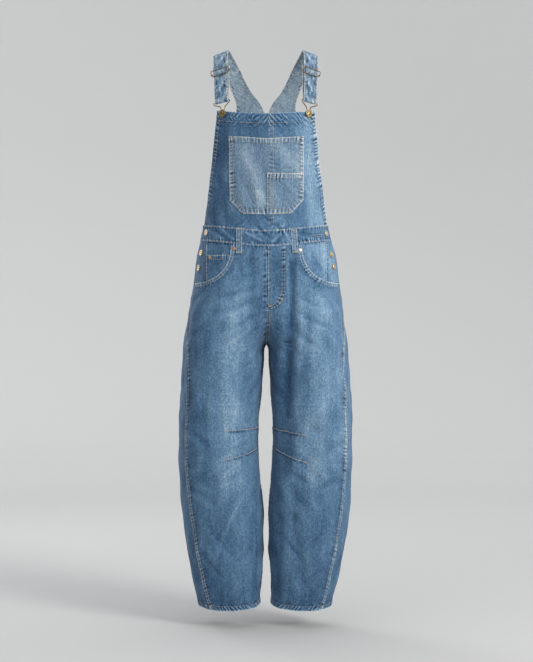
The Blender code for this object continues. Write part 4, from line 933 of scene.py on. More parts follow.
def smooth_values(values, faces, rounds):
    """Average each point's value with its neighbours' a number of times."""
    start, end = edges_of(faces).T
    count = np.maximum(np.bincount(start, minlength=len(values)), 1)
    for _ in range(rounds):
        values = 0.5 * values + 0.5 * np.bincount(start, values[end], len(values)) / count
    return values


def polygon_area(flat):
    """Area of a flat outline."""
    x, z = flat[:, 0], flat[:, 1]
    return abs((x * np.roll(z, -1) - z * np.roll(x, -1)).sum()) / 2


def add_piece(name, mesh, material, nodes=()):
    """Add a visible piece that rides on the garment and stands for CAD nodes."""
    mesh.materials.append(material)
    piece = bpy.data.objects.new(name, mesh)
    bpy.context.scene.collection.objects.link(piece)
    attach(piece, "root")
    if nodes:
        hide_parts(*nodes)
    return piece


def add_cloth(name, layers, faces, flat, values, material):
    """Add a closed shell of cloth, with the numbers that its look reads at each point."""
    mesh = closed_shell("cloth_" + name, *layers, faces)
    weave_map(mesh, np.concatenate([flat, flat]))
    for key, pair in values.items():
        point_values(mesh, key, np.concatenate(pair))
    return add_piece("cloth_" + name, mesh, material, [name])


INSIDE_SHADE = -0.1              # painted shade: the inner layer's tone against the outer one's
SMOOTH_ROUNDS = 8
# Paler on raised places, as worn ridges are, and darker in hollows with painted shade
WEAR_AND_SHADE = (
    # share of the smoothed or the fine bulge, lowest, highest
    (0.007, -0.30, 0.22),
    (0.0012, -0.20, 0.12),
)


def add_panel(panel, material):
    flat, faces = flat_mesh(panel)
    u = panel.face.roll(flat[:, 0], flat[:, 1])
    lift = np.full(len(u), panel.lift)
    outer, point, normal = panel.place(u, flat[:, 1], lift)
    inner, _, _ = panel.place(u, flat[:, 1], lift - panel.thickness)
    faces = facing_out(faces, outer, normal)
    away = np.full(len(flat), 1.0)
    for line in panel.worn:
        away = np.minimum(away, nearest_on_line(flat, line)[0] / panel.rim)
    fine = bulge(outer, normal, faces)
    # The tone holds washed fades, painted light and shade, and the relief's tone
    tone = panel.tone + fade_and_shade_at(point, normal) + panel.relief(flat[:, 0], flat[:, 1])[1]
    wear_and_shade = sum(np.clip(bulges * share, low, high) for bulges, (share, low, high)
               in zip((smooth_values(fine, faces, SMOOTH_ROUNDS), fine), WEAR_AND_SHADE))
    values = {"tone": (tone, tone + INSIDE_SHADE), "wear_and_shade": (wear_and_shade, -wear_and_shade), "edge": (away, away)}
    piece = add_cloth(panel.name, (outer, inner), faces, flat, values, material)
    float(polygon_area(panel.flat))


# Outlines, as in the solids, with closer points
LINE_Q = 0.030
LINE_Z = 0.012


def between(start, end, step):
    """Evenly spaced numbers from start to end, no further apart than step."""
    count = max(1, math.ceil(abs(end - start) / step))
    return [start + (end - start) * i / count for i in range(count + 1)]


MOUTH_X = 0.0887
MOUTH_TOP = -0.497
MOUTH_LOW = -0.5885
MOUTH_REACH = 0.182
MOUTH_POWER = 2.2
MOUTH_STEPS = 28


def mouth_line(side, shift=0.0):
    """The pocket mouth from the waistband to the side, moved up and out by shift."""
    line = []
    for i in range(MOUTH_STEPS + 1):
        angle = math.pi / 2 * i / MOUTH_STEPS
        x = MOUTH_REACH - (MOUTH_REACH - MOUTH_X) * math.cos(angle) ** (2 / MOUTH_POWER)
        z = MOUTH_TOP - (MOUTH_TOP - MOUTH_LOW) * math.sin(angle) ** (2 / MOUTH_POWER)
        x += shift * math.cos(angle)
        z += shift * math.sin(angle)
        q = float(q_at(side, x, z)) if i < MOUTH_STEPS else 1.0
        line.append((q, z))
    return line


def mouth_z(x):
    """Height of the pocket mouth at a distance x from the middle plane."""
    share = (MOUTH_REACH - x) / (MOUTH_REACH - MOUTH_X)
    return MOUTH_TOP - (MOUTH_TOP - MOUTH_LOW) * (1 - share ** MOUTH_POWER) ** (1 / MOUTH_POWER)


def waist_line(level, start, end, gap):
    """Points along a line round the waist, from one q to another."""
    return [(q, float(waist_z(level, q)) + gap) for q in between(start, end, LINE_Q)]


def hem_line(start, end):
    """Points along the lower edge of a leg."""
    return [(q, float(hem_z(q))) for q in between(start, end, LINE_Q)]


def outseam_line(high, low, gap):
    """Points down the outseam from one height to another."""
    return [(float(outseam_q(z)) + gap, z) for z in between(high, low, LINE_Z)]


FORK_STEPS = 16


def middle_line(q, low, high, fork_top):
    """Points up the inseam from the hem to the crotch, and up the middle seam to the waist."""
    turns = [math.pi / 2 * i / FORK_STEPS for i in range(FORK_STEPS + 1)]
    fork = [fork_top - (fork_top - CROTCH) * math.cos(turn) for turn in turns]
    inseam = between(low, CROTCH, LINE_Z)[:-1] + [CROTCH - FORK_FLARE / 4]
    return [(q, z) for z in inseam + fork + between(fork_top, high, LINE_Z)[1:]]


TUCK_Q = 0.028                  # how far the back panel runs in under the front one, in q
KNEE_DARTS = {
    # side: x and z of the outer end, x and z of the inner end
    "R": ((-0.0955, -0.9580, -0.0160, -0.9520), (-0.0955, -1.0290, -0.0243, -1.0040)),
    "L": ((0.0913, -0.9674, 0.0186, -0.9546), (0.0960, -1.0370, 0.0216, -1.0054)),
}
SHADE_SINK = -0.3 * MM
DART_SHADE = (0.0017, SHADE_SINK, -0.22)        # width, height and tone of the painted shadow line below a dart
DART_SHADE_DROP = 0.0030
TICK_SHADE = (0.0018, SHADE_SINK, -0.20)
TICK_PITCH = 0.0165             # dark puckers of the inseam that show on the right leg, painted shade
TICK_SHARE = 0.45               # length of each, as a share of the pitch
TICK_SPAN = (-1.075, -1.380)    # heights between which they lie
TICK_X = -0.0262                # where they lie at the height TICK_Z
TICK_Z = -1.10
TICK_LEAN = 0.010               # and how far their line leans
INSEAM_TICKS = [(TICK_X + (TICK_Z - z) * TICK_LEAN, z) for z in np.arange(*TICK_SPAN, -TICK_PITCH)]
panels = {}


def plan(name, face, outline, **lines):
    """Remember a panel and its named lines."""
    panels[name] = Panel(name, face, outline, lines)
    return panels[name]


def make_legs():
    """The front and back panel of each leg."""
    half = HALF_Q
    low = float(hem_z(float(outseam_q(HEM))))
    for mark, side in SIDES:
        mouth = mouth_line(side)
        seam = outseam_line(SIDE_SEAM_LOW, low, -half)
        hem = hem_line(seam[-1][0], half)
        waist = waist_line(WAIST_SEAM, half, mouth[0][0], -SEAM / 2)
        middle = middle_line(half, hem[-1][1], waist[0][1], FORK_FRONT)
        outline = waist + mouth[1:-1] + [(1.0 - half, MOUTH_LOW)] + seam + hem[1:-1] + middle[:-1]
        high_dart, low_dart = ([leg_spot(side, x0, z0), leg_spot(side, x1, z1)]
                               for x0, z0, x1, z1 in KNEE_DARTS[mark])
        panel = plan("leg_front_" + mark, Face("leg_front", side), outline, hem=hem,
                     mouth=mouth[:-1], rim=mouth, seam=seam, high_dart=high_dart,
                     low_dart=low_dart, middle=middle, fell=middle[:-1], waist=waist)
        if mark == "R":
            for (x0, z0), (x1, z1) in zip(INSEAM_TICKS, INSEAM_TICKS[1:]):
                tick = (x0 + (x1 - x0) * TICK_SHARE, z0 + (z1 - z0) * TICK_SHARE)
                panel.hill(flat_spot(panel, x0, z0), flat_spot(panel, *tick), *TICK_SHADE)
        for name in ("high_dart", "low_dart"):
            panel.hill(*panel.lines[name] - (0, DART_SHADE_DROP), *DART_SHADE)

        waist = waist_line(WAIST_SEAM, 2.0 - half, 1.0 - TUCK_Q, -SEAM / 2)
        seam = outseam_line(waist[-1][1], low, -TUCK_Q)
        hem = hem_line(seam[-1][0], 2.0 - half)
        middle = middle_line(2.0 - half, hem[-1][1], waist[0][1], FORK_BACK)
        plan("leg_back_" + mark, Face("leg_back", side),
             waist[:-1] + seam + hem[1:-1] + middle[:-1],
             hem=hem, seam=seam, middle=middle, fell=middle[:-1], waist=waist)


FACING_TUCK = 0.016
FACING_OUT = 0.955              # q of the facing's outer edge, under the side placket
FACING_CORNER = 0.030
FACING_HILL = {
    # side: width of the swelling where the facing meets the side placket, its height and tone; the
    # left one's paler tone is painted light
    "R": (0.010, 0.6 * MM, 0.0),
    "L": (0.014, 1.0 * MM, 0.10),
}
COIN_IN = 0.0925
COIN_OUT = 0.1478
COIN_TOP = -0.5195
COIN_STEP = 0.008
PLACKET_IN = 0.1485
PLACKET_OUT = 0.176
MOUTH_CLEAR = 1.5 * MM
ABOVE_STEPS = 12


def above_mouth(side, start, end):
    """Points just above the pocket mouth, from one distance out to another."""
    marks = [start + (end - start) * i / ABOVE_STEPS for i in range(ABOVE_STEPS + 1)]
    return [leg_spot(side, x, mouth_z(x) + MOUTH_CLEAR) for x in marks]


def make_hips():
    """What shows above the pocket mouths: the facings, the coin pocket and the side plackets."""
    for mark, side in SIDES:
        face = Face("leg_front", side)
        tucked = mouth_line(side, -FACING_TUCK)
        top = waist_line(WAIST_SEAM, tucked[0][0], FACING_OUT, -SEAM)
        low = [(q, z) for q, z in tucked[1:] if q < FACING_OUT - FACING_CORNER]
        outline = top + [(FACING_OUT, MOUTH_LOW - FACING_TUCK)] + low[::-1]
        panel = plan("hip_facing_" + mark, face, outline, top=top)
        ridge = [flat_spot(panel, side * PLACKET_IN, z) for z in (WAIST_SEAM, MOUTH_LOW)]
        panel.hill(*ridge, *FACING_HILL[mark])

        outer = 1.0 - HALF_Q
        top = waist_line(WAIST_SEAM, leg_spot(side, PLACKET_IN, WAIST_SEAM)[0], outer, -SEAM / 2)
        edge = [(outer, z) for z in between(top[-1][1], MOUTH_LOW + MOUTH_CLEAR, LINE_Z)]
        outline = top[:-1] + edge + above_mouth(side, PLACKET_IN, PLACKET_OUT)[::-1]
        plan("side_placket_" + mark, face, outline, inner=[outline[-1], outline[0]], outer=edge)

    side = -1.0
    top = [leg_spot(side, x, COIN_TOP) for x in between(COIN_IN, COIN_OUT, COIN_STEP)]
    outline = top + above_mouth(side, COIN_IN, COIN_OUT)[::-1]
    plan("coin_pocket_R", Face("leg_front", side), outline, top=top,
         left=[outline[-1], outline[0]], right=[outline[len(top) - 1], outline[len(top)]])


FLY_IN = 0.0037
FLY_OUT = 0.0475
FLY_LOW = -0.655
FLY_TOE = 0.006
FLY_BEND = -0.600
FLY_STEPS = 14
FLY_CLEAR = 1.0 * MM
FRONT = Face("front")
BACK = Face("back")


def make_fly():
    """The overlap down the middle of the front, with a curved lower end."""
    top = [float(waist_z(WAIST_SEAM, q_at(1.0, x, WAIST_SEAM - FRONT_DIP))) - FLY_CLEAR
           for x in (FLY_IN, FLY_OUT)]
    inner = [front_spot(FLY_IN, z) for z in between(top[0], FLY_LOW, LINE_Z)]
    start = FLY_IN + FLY_TOE
    bend = []
    for i in range(FLY_STEPS + 1):
        angle = math.pi / 2 * i / FLY_STEPS
        x = start + (FLY_OUT - start) * math.sin(angle)
        z = FLY_BEND - (FLY_BEND - FLY_LOW) * math.cos(angle)
        bend.append(front_spot(x, z))
    outer = [front_spot(FLY_OUT, z) for z in between(FLY_BEND, top[1], LINE_Z)][1:]
    plan("fly_placket", FRONT, inner + bend + outer, inner=inner, outer=bend + outer)


LOOP_WIDTH = 0.0135
LOOP_RISE = 0.004
LOOP_DROP = 0.022
BACK_SPAN = 0.19
FRONT_LOOPS = (
    # name, x at the top, x at the bottom, top, bottom
    ("R", -0.0672, -0.0672, -0.4520, -0.5175),
    ("L", 0.0672, 0.0715, -0.4560, -0.5165),
)
BACK_LOOPS = (
    # name, u
    ("R", -0.70),
    ("C", 0.0),
    ("L", 0.70),
)
CREASE_WIDE = 0.0026            # width of a crease in the waistband
CREASE_RISE = 0.5 * MM
BAND_CREASES = (
    # x and z of both ends, tone: paler along the raised creases, painted shade along the sunk ones
    (0.0156, -0.4873, 0.0409, -0.4556, 0.24),
    (0.0409, -0.4556, 0.0600, -0.4905, 0.22),
    (0.0230, -0.4930, 0.0400, -0.4720, -0.16),
    (-0.0570, -0.4620, -0.0129, -0.4840, 0.20),
    (-0.0500, -0.4740, -0.0200, -0.4900, -0.15),
    (-0.0050, -0.4640, 0.0120, -0.4790, -0.15),
    (-0.1456, -0.4556, -0.1140, -0.4778, 0.15),
    (-0.1140, -0.4527, -0.0823, -0.4809, 0.20),
    (-0.1250, -0.4580, -0.1000, -0.4780, -0.17),
    (0.0850, -0.4640, 0.1390, -0.4700, -0.15),
    (0.0850, -0.4760, 0.1300, -0.4800, 0.17),
)


def belt_loop(name, face, corners):
    """A belt loop over its corners in u and z, from the lower left one round."""
    low_left, low_right, top_right, top_left = corners
    plan("belt_loop_" + name, face, corners, left=[low_left, top_left],
         right=[low_right, top_right])


def make_waist():
    """The two halves of the waistband and the belt loops on them."""
    end = 1.0 - HALF_Q
    for name, face, middle in (("front", FRONT, 0.0), ("back", BACK, 2.0)):
        turn = between(middle, abs(middle - end), LINE_Q)
        line = [(-abs(q - middle), q) for q in turn[:0:-1]] + [(abs(q - middle), q) for q in turn]
        low = [(u, float(waist_z(WAIST_SEAM, q)) + SEAM / 2) for u, q in line]
        top = [(u, float(waist_z(WAIST_TOP, q))) for u, q in line]
        plan("waistband_" + name, face, low + top[::-1], low=low, top=top)
    band = panels["waistband_front"]
    for x0, z0, x1, z1, tone in BAND_CREASES:
        rise = math.copysign(CREASE_RISE, tone)
        band.hill(flat_spot(band, x0, z0), flat_spot(band, x1, z1), CREASE_WIDE, rise, tone)
    half = LOOP_WIDTH / 2
    for mark, x_top, x_low, top, low in FRONT_LOOPS:
        corners = ((x_low - half, low), (x_low + half, low), (x_top + half, top), (x_top - half, top))
        belt_loop("front_" + mark, FRONT, [front_spot(x, z) for x, z in corners])
    for mark, middle in BACK_LOOPS:
        left = middle - half / BACK_SPAN
        right = middle + half / BACK_SPAN
        top = float(waist_z(WAIST_TOP, 2 - abs(middle))) + LOOP_RISE
        low = float(waist_z(WAIST_SEAM, 2 - abs(middle))) - LOOP_DROP
        belt_loop("back_" + mark, BACK, [(left, low), (right, low), (right, top), (left, top)])


BIB_TOP = -0.1565
BIB_SAG = 0.0115
BIB_SEAM = 0.0035
BIB_HOLLOW = 0.002
BIB_EDGE = {
    # side: distance from the middle plane at the top and at the waistband
    -1.0: (0.1235, 0.1570),
    1.0: (0.1200, 0.1520),
}
BIB_STEPS = 24


def bib_side(side, z):
    """Distance of the bib's side edge from the middle plane."""
    top, low = BIB_EDGE[side]
    share = (BIB_TOP - z) / (BIB_TOP - WAIST_TOP)
    return top + (low - top) * share - BIB_HOLLOW * math.sin(math.pi * min(max(share, 0), 1))


def make_bib():
    """The front bib, in two halves."""
    for mark, side in SIDES:
        middle = BIB_SEAM + side * MEET
        start = front_spot(middle, WAIST_TOP)[0]
        end = front_spot(side * bib_side(side, WAIST_TOP), WAIST_TOP)[0]
        low = [(u, float(waist_z(WAIST_TOP, abs(u))) + SEAM) for u in between(start, end, LINE_Q)]
        heights = between(low[-1][1], BIB_TOP, LINE_Z)
        edge = [front_spot(side * bib_side(side, z), z) for z in heights]
        corner = side * bib_side(side, BIB_TOP)
        top = []
        for i in range(BIB_STEPS + 1):
            x = corner + (middle - corner) * i / BIB_STEPS
            top.append(front_spot(x, BIB_TOP - BIB_SAG * (1 - (x / corner) ** 2)))
        seam = [front_spot(middle, z) for z in between(top[-1][1], low[0][1], LINE_Z)]
        plan("bib_front_" + mark, FRONT, low + edge[1:-1] + top + seam[1:-1],
             edge=edge, top=top, seam=seam)
POCKET = (
    # x, z of the right half, from the top middle round to the bottom middle
    (0.0000, -0.2315),
    (0.0925, -0.2235),
    (0.0910, -0.3830),
    (0.0605, -0.4175),
    (0.0000, -0.4198),
)
PENCIL_TOP = -0.3172
PENCIL_IN = 0.0018
PENCIL_INSET = 0.5 * MM
STRAIGHT_STEP = 0.010


def straight(corners):
    """Points along straight stretches on the front, close together."""
    line = []
    for (x0, z0), (x1, z1) in zip(corners, corners[1:]):
        count = max(1, math.ceil(math.hypot(x1 - x0, z1 - z0) / STRAIGHT_STEP))
        line += [(x0 + (x1 - x0) * i / count, z0 + (z1 - z0) * i / count) for i in range(count)]
    return [front_spot(x, z) for x, z in line + [corners[-1]]]


def make_bib_pockets():
    """The pocket on the bib in two halves, and the pencil pocket laid on its left half."""
    for mark, side in SIDES:
        middle = BIB_SEAM + side * MEET
        top = straight([(middle, POCKET[0][1]), (side * POCKET[1][0], POCKET[1][1])])
        rest = straight([(side * x, z) for x, z in POCKET[1:-1]] + [(middle, POCKET[-1][1])])
        seam = straight([(middle, POCKET[-1][1]), (middle, POCKET[0][1])])
        plan("bib_pocket_" + mark, FRONT, top + rest[1:] + seam[1:-1],
             top=top, rest=rest, seam=seam)
    corners = [(POCKET[1][0] - 2 * PENCIL_INSET, PENCIL_TOP)]
    corners += [(x - PENCIL_INSET, z + PENCIL_INSET) for x, z in POCKET[2:-1]]
    corners += [(PENCIL_IN, POCKET[-1][1] + PENCIL_INSET)]
    top = straight([(PENCIL_IN, PENCIL_TOP), corners[0]])
    rest = straight(corners)
    inner = straight([corners[-1], (PENCIL_IN, PENCIL_TOP)])
    plan("bib_pencil_pocket", FRONT, top + rest[1:] + inner[1:-1], top=top, rest=rest, inner=inner)


BACK_TOP = -0.165
BACK_TOP_REACH = 0.086
BACK_LOW_REACH = 0.150
BACK_CURVE = 3
BACK_SAMPLES = 401


def back_side(z):
    """Distance of the back bib's hollow side edge from the middle plane."""
    share = max((BACK_TOP - z) / (BACK_TOP - WAIST_TOP), 0)
    return BACK_TOP_REACH + (BACK_LOW_REACH - BACK_TOP_REACH) * share ** BACK_CURVE


def back_u(side, x, z):
    """Flat coordinate of a point on the back, from its distance to the middle plane."""
    marks = np.linspace(1.0, 2.0, BACK_SAMPLES)
    reach = np.abs(surface(np.full_like(marks, side), marks, np.full_like(marks, z))[:, 0])
    return side * float(2 - np.interp(-x, -reach, marks))


def make_back_bib():
    """The back bib, in two halves, wide at the waist and narrow where the straps start."""
    for mark, side in SIDES:
        q_low = 2 - abs(back_u(side, BACK_LOW_REACH, WAIST_TOP))
        low = [(side * (2 - q), float(waist_z(WAIST_TOP, q)) + SEAM)
               for q in between(2 - HALF_Q, q_low, LINE_Q)]
        edge = [(back_u(side, back_side(z), z), z) for z in between(low[-1][1], BACK_TOP, LINE_Z)]
        middle = side * HALF_Q
        top = [(u, BACK_TOP) for u in between(edge[-1][0], middle, LINE_Q)]
        seam = [(middle, z) for z in between(BACK_TOP, low[0][1], LINE_Z)]
        plan("back_bib_" + mark, BACK, low + edge[1:-1] + top + seam[1:-1],
             edge=edge, top=top, seam=seam)


STRAP_STATIONS = (
    # x, y and z of the inner edge, x, y and z of the outer edge
    (0.0006, 0.1065, -0.1645, 0.0860, 0.0905, -0.1645),
    (0.0085, 0.1060, -0.1300, 0.0790, 0.0905, -0.1290),
    (0.0446, 0.0950, -0.0793, 0.0936, 0.0820, -0.0793),
    (0.0705, 0.0660, -0.0300, 0.1120, 0.0560, -0.0360),
    (0.0880, 0.0300, -0.0020, 0.1270, 0.0260, -0.0160),
    (0.0955, -0.0080, 0.0060, 0.1335, -0.0090, -0.0090),
    (0.0980, -0.0480, -0.0100, 0.1345, -0.0450, -0.0230),
    (0.0985, -0.0790, -0.0480, 0.1335, -0.0740, -0.0590),
    (0.0980, -0.0960, -0.0950, 0.1305, -0.0900, -0.1040),
    (0.0965, -0.1030, -0.1330, 0.1285, -0.0965, -0.1415),
)
LEFT_STRAP_SCALE = 0.965
FRONT_FOLD = 3.0 * MM           # clear space between the strap and its end that comes back behind
FOLD_STEPS = 10
RETURN_LENGTH = 0.098           # length of that end
RETURN_STEPS = 28
RETURN_SHIFT = 0.0035           # it lies this much nearer to the middle plane
RETURN_EASE = 0.030             # length over which it moves there
STRAP_SPACING = 0.0035
STRAP_ACROSS = 18               # faces across the strap


def distance_back(inner, outer):
    """How far each of the strap's stations lies from its lower end in front, last one first."""
    return run_along(((inner + outer) / 2)[::-1])


def read_back(back, values, distance):
    """The strap's values at a distance from its lower end in front."""
    return np.array([np.interp(distance, back, values[::-1, k]) for k in range(3)])


def unit(vector):
    """The vector at length 1."""
    return vector / np.linalg.norm(vector, axis=-1, keepdims=True)


def strap_curve(mark):
    """The two edges of the strap as smooth, evenly spaced lines, from the back to the front end."""
    table = np.array(STRAP_STATIONS)
    side = -1.0 if mark == "R" else 1.0
    scale = 1.0 if mark == "R" else LEFT_STRAP_SCALE
    for column in (0, 3):
        table[:, column] *= side * scale
    length = run_along((table[:, :3] + table[:, 3:]) / 2)
    count = round(length[-1] / STRAP_SPACING)
    marks = np.linspace(0, length[-1], count + 1)
    edges = np.stack([follow(length, table[:, i], marks) for i in range(6)], axis=1)
    return edges[:, :3], edges[:, 3:], side


def band_normals(inner, outer, side):
    """Outward direction of a ribbon at each of its stations."""
    middle = (inner + outer) / 2
    return unit(np.cross(np.gradient(middle, axis=0), outer - inner) * side)


def front_end(mark):
    """The strap's lower end in front: edge points, direction down and direction out."""
    inner, outer, side = strap_curve(mark)
    ahead = band_normals(inner, outer, side)[-1]
    down = unit(inner[-1] + outer[-1] - inner[-2] - outer[-2])
    return inner[-1], outer[-1], down, ahead


def strap_path(mark):
    """Edges and outward directions of the whole strap, with its end turned back behind."""
    inner, outer, side = strap_curve(mark)
    out = band_normals(inner, outer, side)
    _, _, down, ahead = front_end(mark)
    radius = (FRONT_FOLD + DOUBLE) / 2
    base_in = inner[-1] - ahead * (DOUBLE / 2)
    base_out = outer[-1] - ahead * (DOUBLE / 2)
    rows = [(a - n * DOUBLE / 2, b - n * DOUBLE / 2, n) for a, b, n in zip(inner, outer, out)]
    for i in range(1, FOLD_STEPS + 1):
        angle = math.pi * i / FOLD_STEPS
        move = down * (radius * math.sin(angle)) - ahead * (radius * (1 - math.cos(angle)))
        facing = ahead * math.cos(angle) + down * math.sin(angle)
        rows.append((base_in + move, base_out + move, facing))
    back = distance_back(inner, outer)
    drop = 2 * radius + DOUBLE / 2
    for i in range(1, RETURN_STEPS + 1):
        distance = RETURN_LENGTH * i / RETURN_STEPS
        facing = unit(read_back(back, out, distance))
        shift = np.array([-side * RETURN_SHIFT * min(1.0, distance / RETURN_EASE), 0, 0])
        spot_in = read_back(back, inner, distance) - facing * drop + shift
        spot_out = read_back(back, outer, distance) - facing * drop + shift
        rows.append((spot_in, spot_out, -facing))
    return rows


STRAP_PUCKER = 0.60 * MM
STRAP_PITCH = 0.0085
STRAP_SKEW = 0.5
STRAP_DRIFT = 0.0020
STRAP_ROW = 0.0045              # distance of the strap's stitches from its edges
STRAP_GROOVE = 0.2 * MM
PUCKER_EDGE = 0.004             # distance of the puckers' highest place from the edge
PUCKER_REACH = 0.0055           # and how far they spread
STRAP_WAVE = 0.5 * MM           # how much its middle is rumpled
STRAP_TONE = {1: 0.16, -1: 0.36}
STRAP_FLECK = {1: 0.15, -1: 0.03}
STRAP_MEAN = 0.8                # mean strength of the puckers
STRAP_SHARE = 0.4               # and how much it changes along the strap
STRAP_LIMITS = (0.3, 1.5)
# Seeded waves: count, shortest and longest
STRAP_DRIFT_WAVES = (6, 0.016, 0.080)
STRAP_STRENGTH_WAVES = (5, 0.015, 0.090)
STRAP_RUMPLES = (31, 12, 0.018, 0.070)  # after its seed
STRAP_SEED = 9
EDGE_SEED = 3
FLECK_SEED = 32
FLECK_SQUEEZE = 0.4
FLECK_WAVES = (14, 0.006, 0.018)


class Strap:
    """A strap's ribbon. A place on it is a share across, from -0.5 to 0.5, and a run along it."""

    def __init__(self, mark):
        inner, outer, self.facing = (np.array(rows) for rows in zip(*strap_path(mark)))
        self.seed = 7 if mark == "R" else 23
        self.middle = (inner + outer) / 2
        self.wide = outer - inner
        self.run = run_along(self.middle)
        self.width = np.linalg.norm(self.wide, axis=1)

    def read(self, values, run):
        """Values of the stations at runs along the strap."""
        return np.stack([np.interp(run, self.run, values[:, k]) for k in range(3)], axis=1)

    def relief(self, share, run, way):
        """Height and tone of the puckers and rumples on one face, with painted shade in the puckers'
        hollows and along the stitch groove.
        """
        width = np.interp(run, self.run, self.width)
        away = (0.5 - np.abs(share)) * width
        seed = self.seed + (share > 0)[0] * EDGE_SEED
        drift = waves(run, 0 * run, seed, *STRAP_DRIFT_WAVES)
        strength = waves(run, 0 * run, seed + STRAP_SEED, *STRAP_STRENGTH_WAVES)
        strength = np.clip(STRAP_MEAN + STRAP_SHARE * strength, *STRAP_LIMITS)
        phase = 2 * math.pi * (run + STRAP_SKEW * away + STRAP_DRIFT * drift) / STRAP_PITCH
        wave = pucker_wave(phase) * strength
        wave = wave * np.exp(-((away - PUCKER_EDGE) / PUCKER_REACH) ** 2)
        groove = np.exp(-((away - STRAP_ROW) / GROOVE_WIDE) ** 2)
        rumple = waves(share * width, run, *STRAP_RUMPLES) * way
        fleck = waves(share * width, run * FLECK_SQUEEZE, FLECK_SEED + way, *FLECK_WAVES)
        height = STRAP_PUCKER * wave - STRAP_GROOVE * groove + STRAP_WAVE * rumple
        shine = pucker_wear_and_shade(wave) * STRAP_PUCKER / MM
        return height, PUCKER_TONE * shine - SEAM_GROOVE_SHADE * groove + STRAP_FLECK[way] * fleck

    def spots(self, share, run, way, lift=0.0):
        """Points and outward directions on one face: way is 1 outside and -1 inside."""
        facing = unit(self.read(self.facing, run)) * way
        height, _ = self.relief(share, run, way)
        middle = self.read(self.middle, run)
        wide = self.read(self.wide, run)
        rise = DOUBLE / 2 + lift + height
        return middle + wide * share[:, None] + facing * rise[:, None], facing

    def edge_spots(self, edge, way, spots):
        """The same for stitches along one edge: edge is 1 or -1, spots hold the run."""
        width = np.interp(spots[:, 0], self.run, self.width)
        return self.spots(edge * (0.5 - STRAP_ROW / width), spots[:, 0], way)


def add_strap(mark, material):
    strap = Strap(mark)
    shares = np.linspace(-0.5, 0.5, STRAP_ACROSS + 1)
    run = np.repeat(strap.run, len(shares))
    share = np.tile(shares, len(strap.run))
    upper, _ = strap.spots(share, run, 1)
    lower, _ = strap.spots(share, run, -1)
    index = np.arange(len(run)).reshape(-1, len(shares))
    corners = (index[:-1, :-1], index[:-1, 1:], index[1:, 1:], index[1:, :-1])
    quads = np.stack([corner.ravel() for corner in corners], axis=1)
    faces = facing_out(halved(quads), upper, upper - lower)
    width = np.interp(run, strap.run, strap.width)
    flat = np.stack([share * width, run], axis=1)
    away = (0.5 - np.abs(share)) * width
    values = {"tone": [STRAP_TONE[way] + strap.relief(share, run, way)[1] for way in (1, -1)],
              "wear_and_shade": (0 * run, 0 * run), "edge": (away, away)}
    piece = add_cloth("strap_" + mark, (upper, lower), faces, flat, values, material)
    return strap


ROWS = (
    # piece, line, distance in from it, lowest z, highest z
    ("leg_front", "hem", 0.0115, -2, 0),
    ("leg_front", "mouth", 0.0022, -2, 0),
    ("leg_front", "mouth", 0.0088, -2, 0),
    ("leg_front", "seam", 0.0020, -2, 0),
    ("leg_front", "seam", 0.0082, -2, 0),
    ("leg_front_L", "middle", 0.0022, -0.735, -0.655),
    ("leg_front_L", "middle", 0.0080, -0.735, -0.650),
    ("leg_back", "hem", 0.0115, -2, 0),
    ("leg_back_L", "middle", 0.0020, -0.735, 0),
    ("leg_back_L", "middle", 0.0072, -0.735, 0),
    ("fly_placket", "inner", 0.0022, -2, 0),
    ("fly_placket", "outer", 0.0022, -2, 0),
    ("fly_placket", "outer", 0.0088, -2, 0),
    ("waistband_front", "low", 0.0028, -2, 0),
    ("waistband_front", "top", 0.0028, -2, 0),
    ("waistband_back", "low", 0.0028, -2, 0),
    ("waistband_back", "top", 0.0028, -2, 0),
    ("belt_loop_front", "left", 0.0026, -2, 0),
    ("belt_loop_front", "right", 0.0026, -2, 0),
    ("belt_loop_back", "left", 0.0026, -2, 0),
    ("belt_loop_back", "right", 0.0026, -2, 0),
    ("bib_front", "top", 0.0245, -2, 0),
    ("bib_front", "edge", 0.0110, -2, 0),
    ("bib_front_L", "seam", 0.0025, -2, 0),
    ("bib_front_L", "seam", 0.0135, -2, 0),
    ("bib_pocket", "top", 0.0022, -2, 0),
    ("bib_pocket", "top", 0.0120, -2, 0),
    ("bib_pocket", "rest", 0.0022, -2, 0),
    ("bib_pocket", "rest", 0.0105, -2, 0),
    ("bib_pocket_L", "seam", 0.0025, PENCIL_TOP, 0),
    ("bib_pocket_L", "seam", 0.0135, PENCIL_TOP, 0),
    ("bib_pencil_pocket", "top", 0.0020, -2, 0),
    ("bib_pencil_pocket", "top", 0.0115, -2, 0),
    ("bib_pencil_pocket", "rest", 0.0022, -2, 0),
    ("bib_pencil_pocket", "rest", 0.0105, -2, 0),
    ("bib_pencil_pocket", "inner", 0.0020, -2, 0),
    ("bib_pencil_pocket", "inner", 0.0080, -2, 0),
    ("bib_pencil_pocket", "inner", 0.0140, -2, 0),
    ("coin_pocket_R", "top", 0.0020, -2, 0),
    ("coin_pocket_R", "top", 0.0110, -2, 0),
    ("coin_pocket_R", "left", 0.0022, -2, 0),
    ("coin_pocket_R", "right", 0.0022, -2, 0),
    ("side_placket_R", "inner", 0.0025, -2, 0),
    ("back_bib", "edge", 0.0110, -2, 0),
    ("back_bib", "top", 0.0040, -2, 0),
    ("back_bib", "top", 0.0140, -2, 0),
    ("back_bib_L", "seam", 0.0020, -2, 0),
    ("back_bib_L", "seam", 0.0072, -2, 0),
)
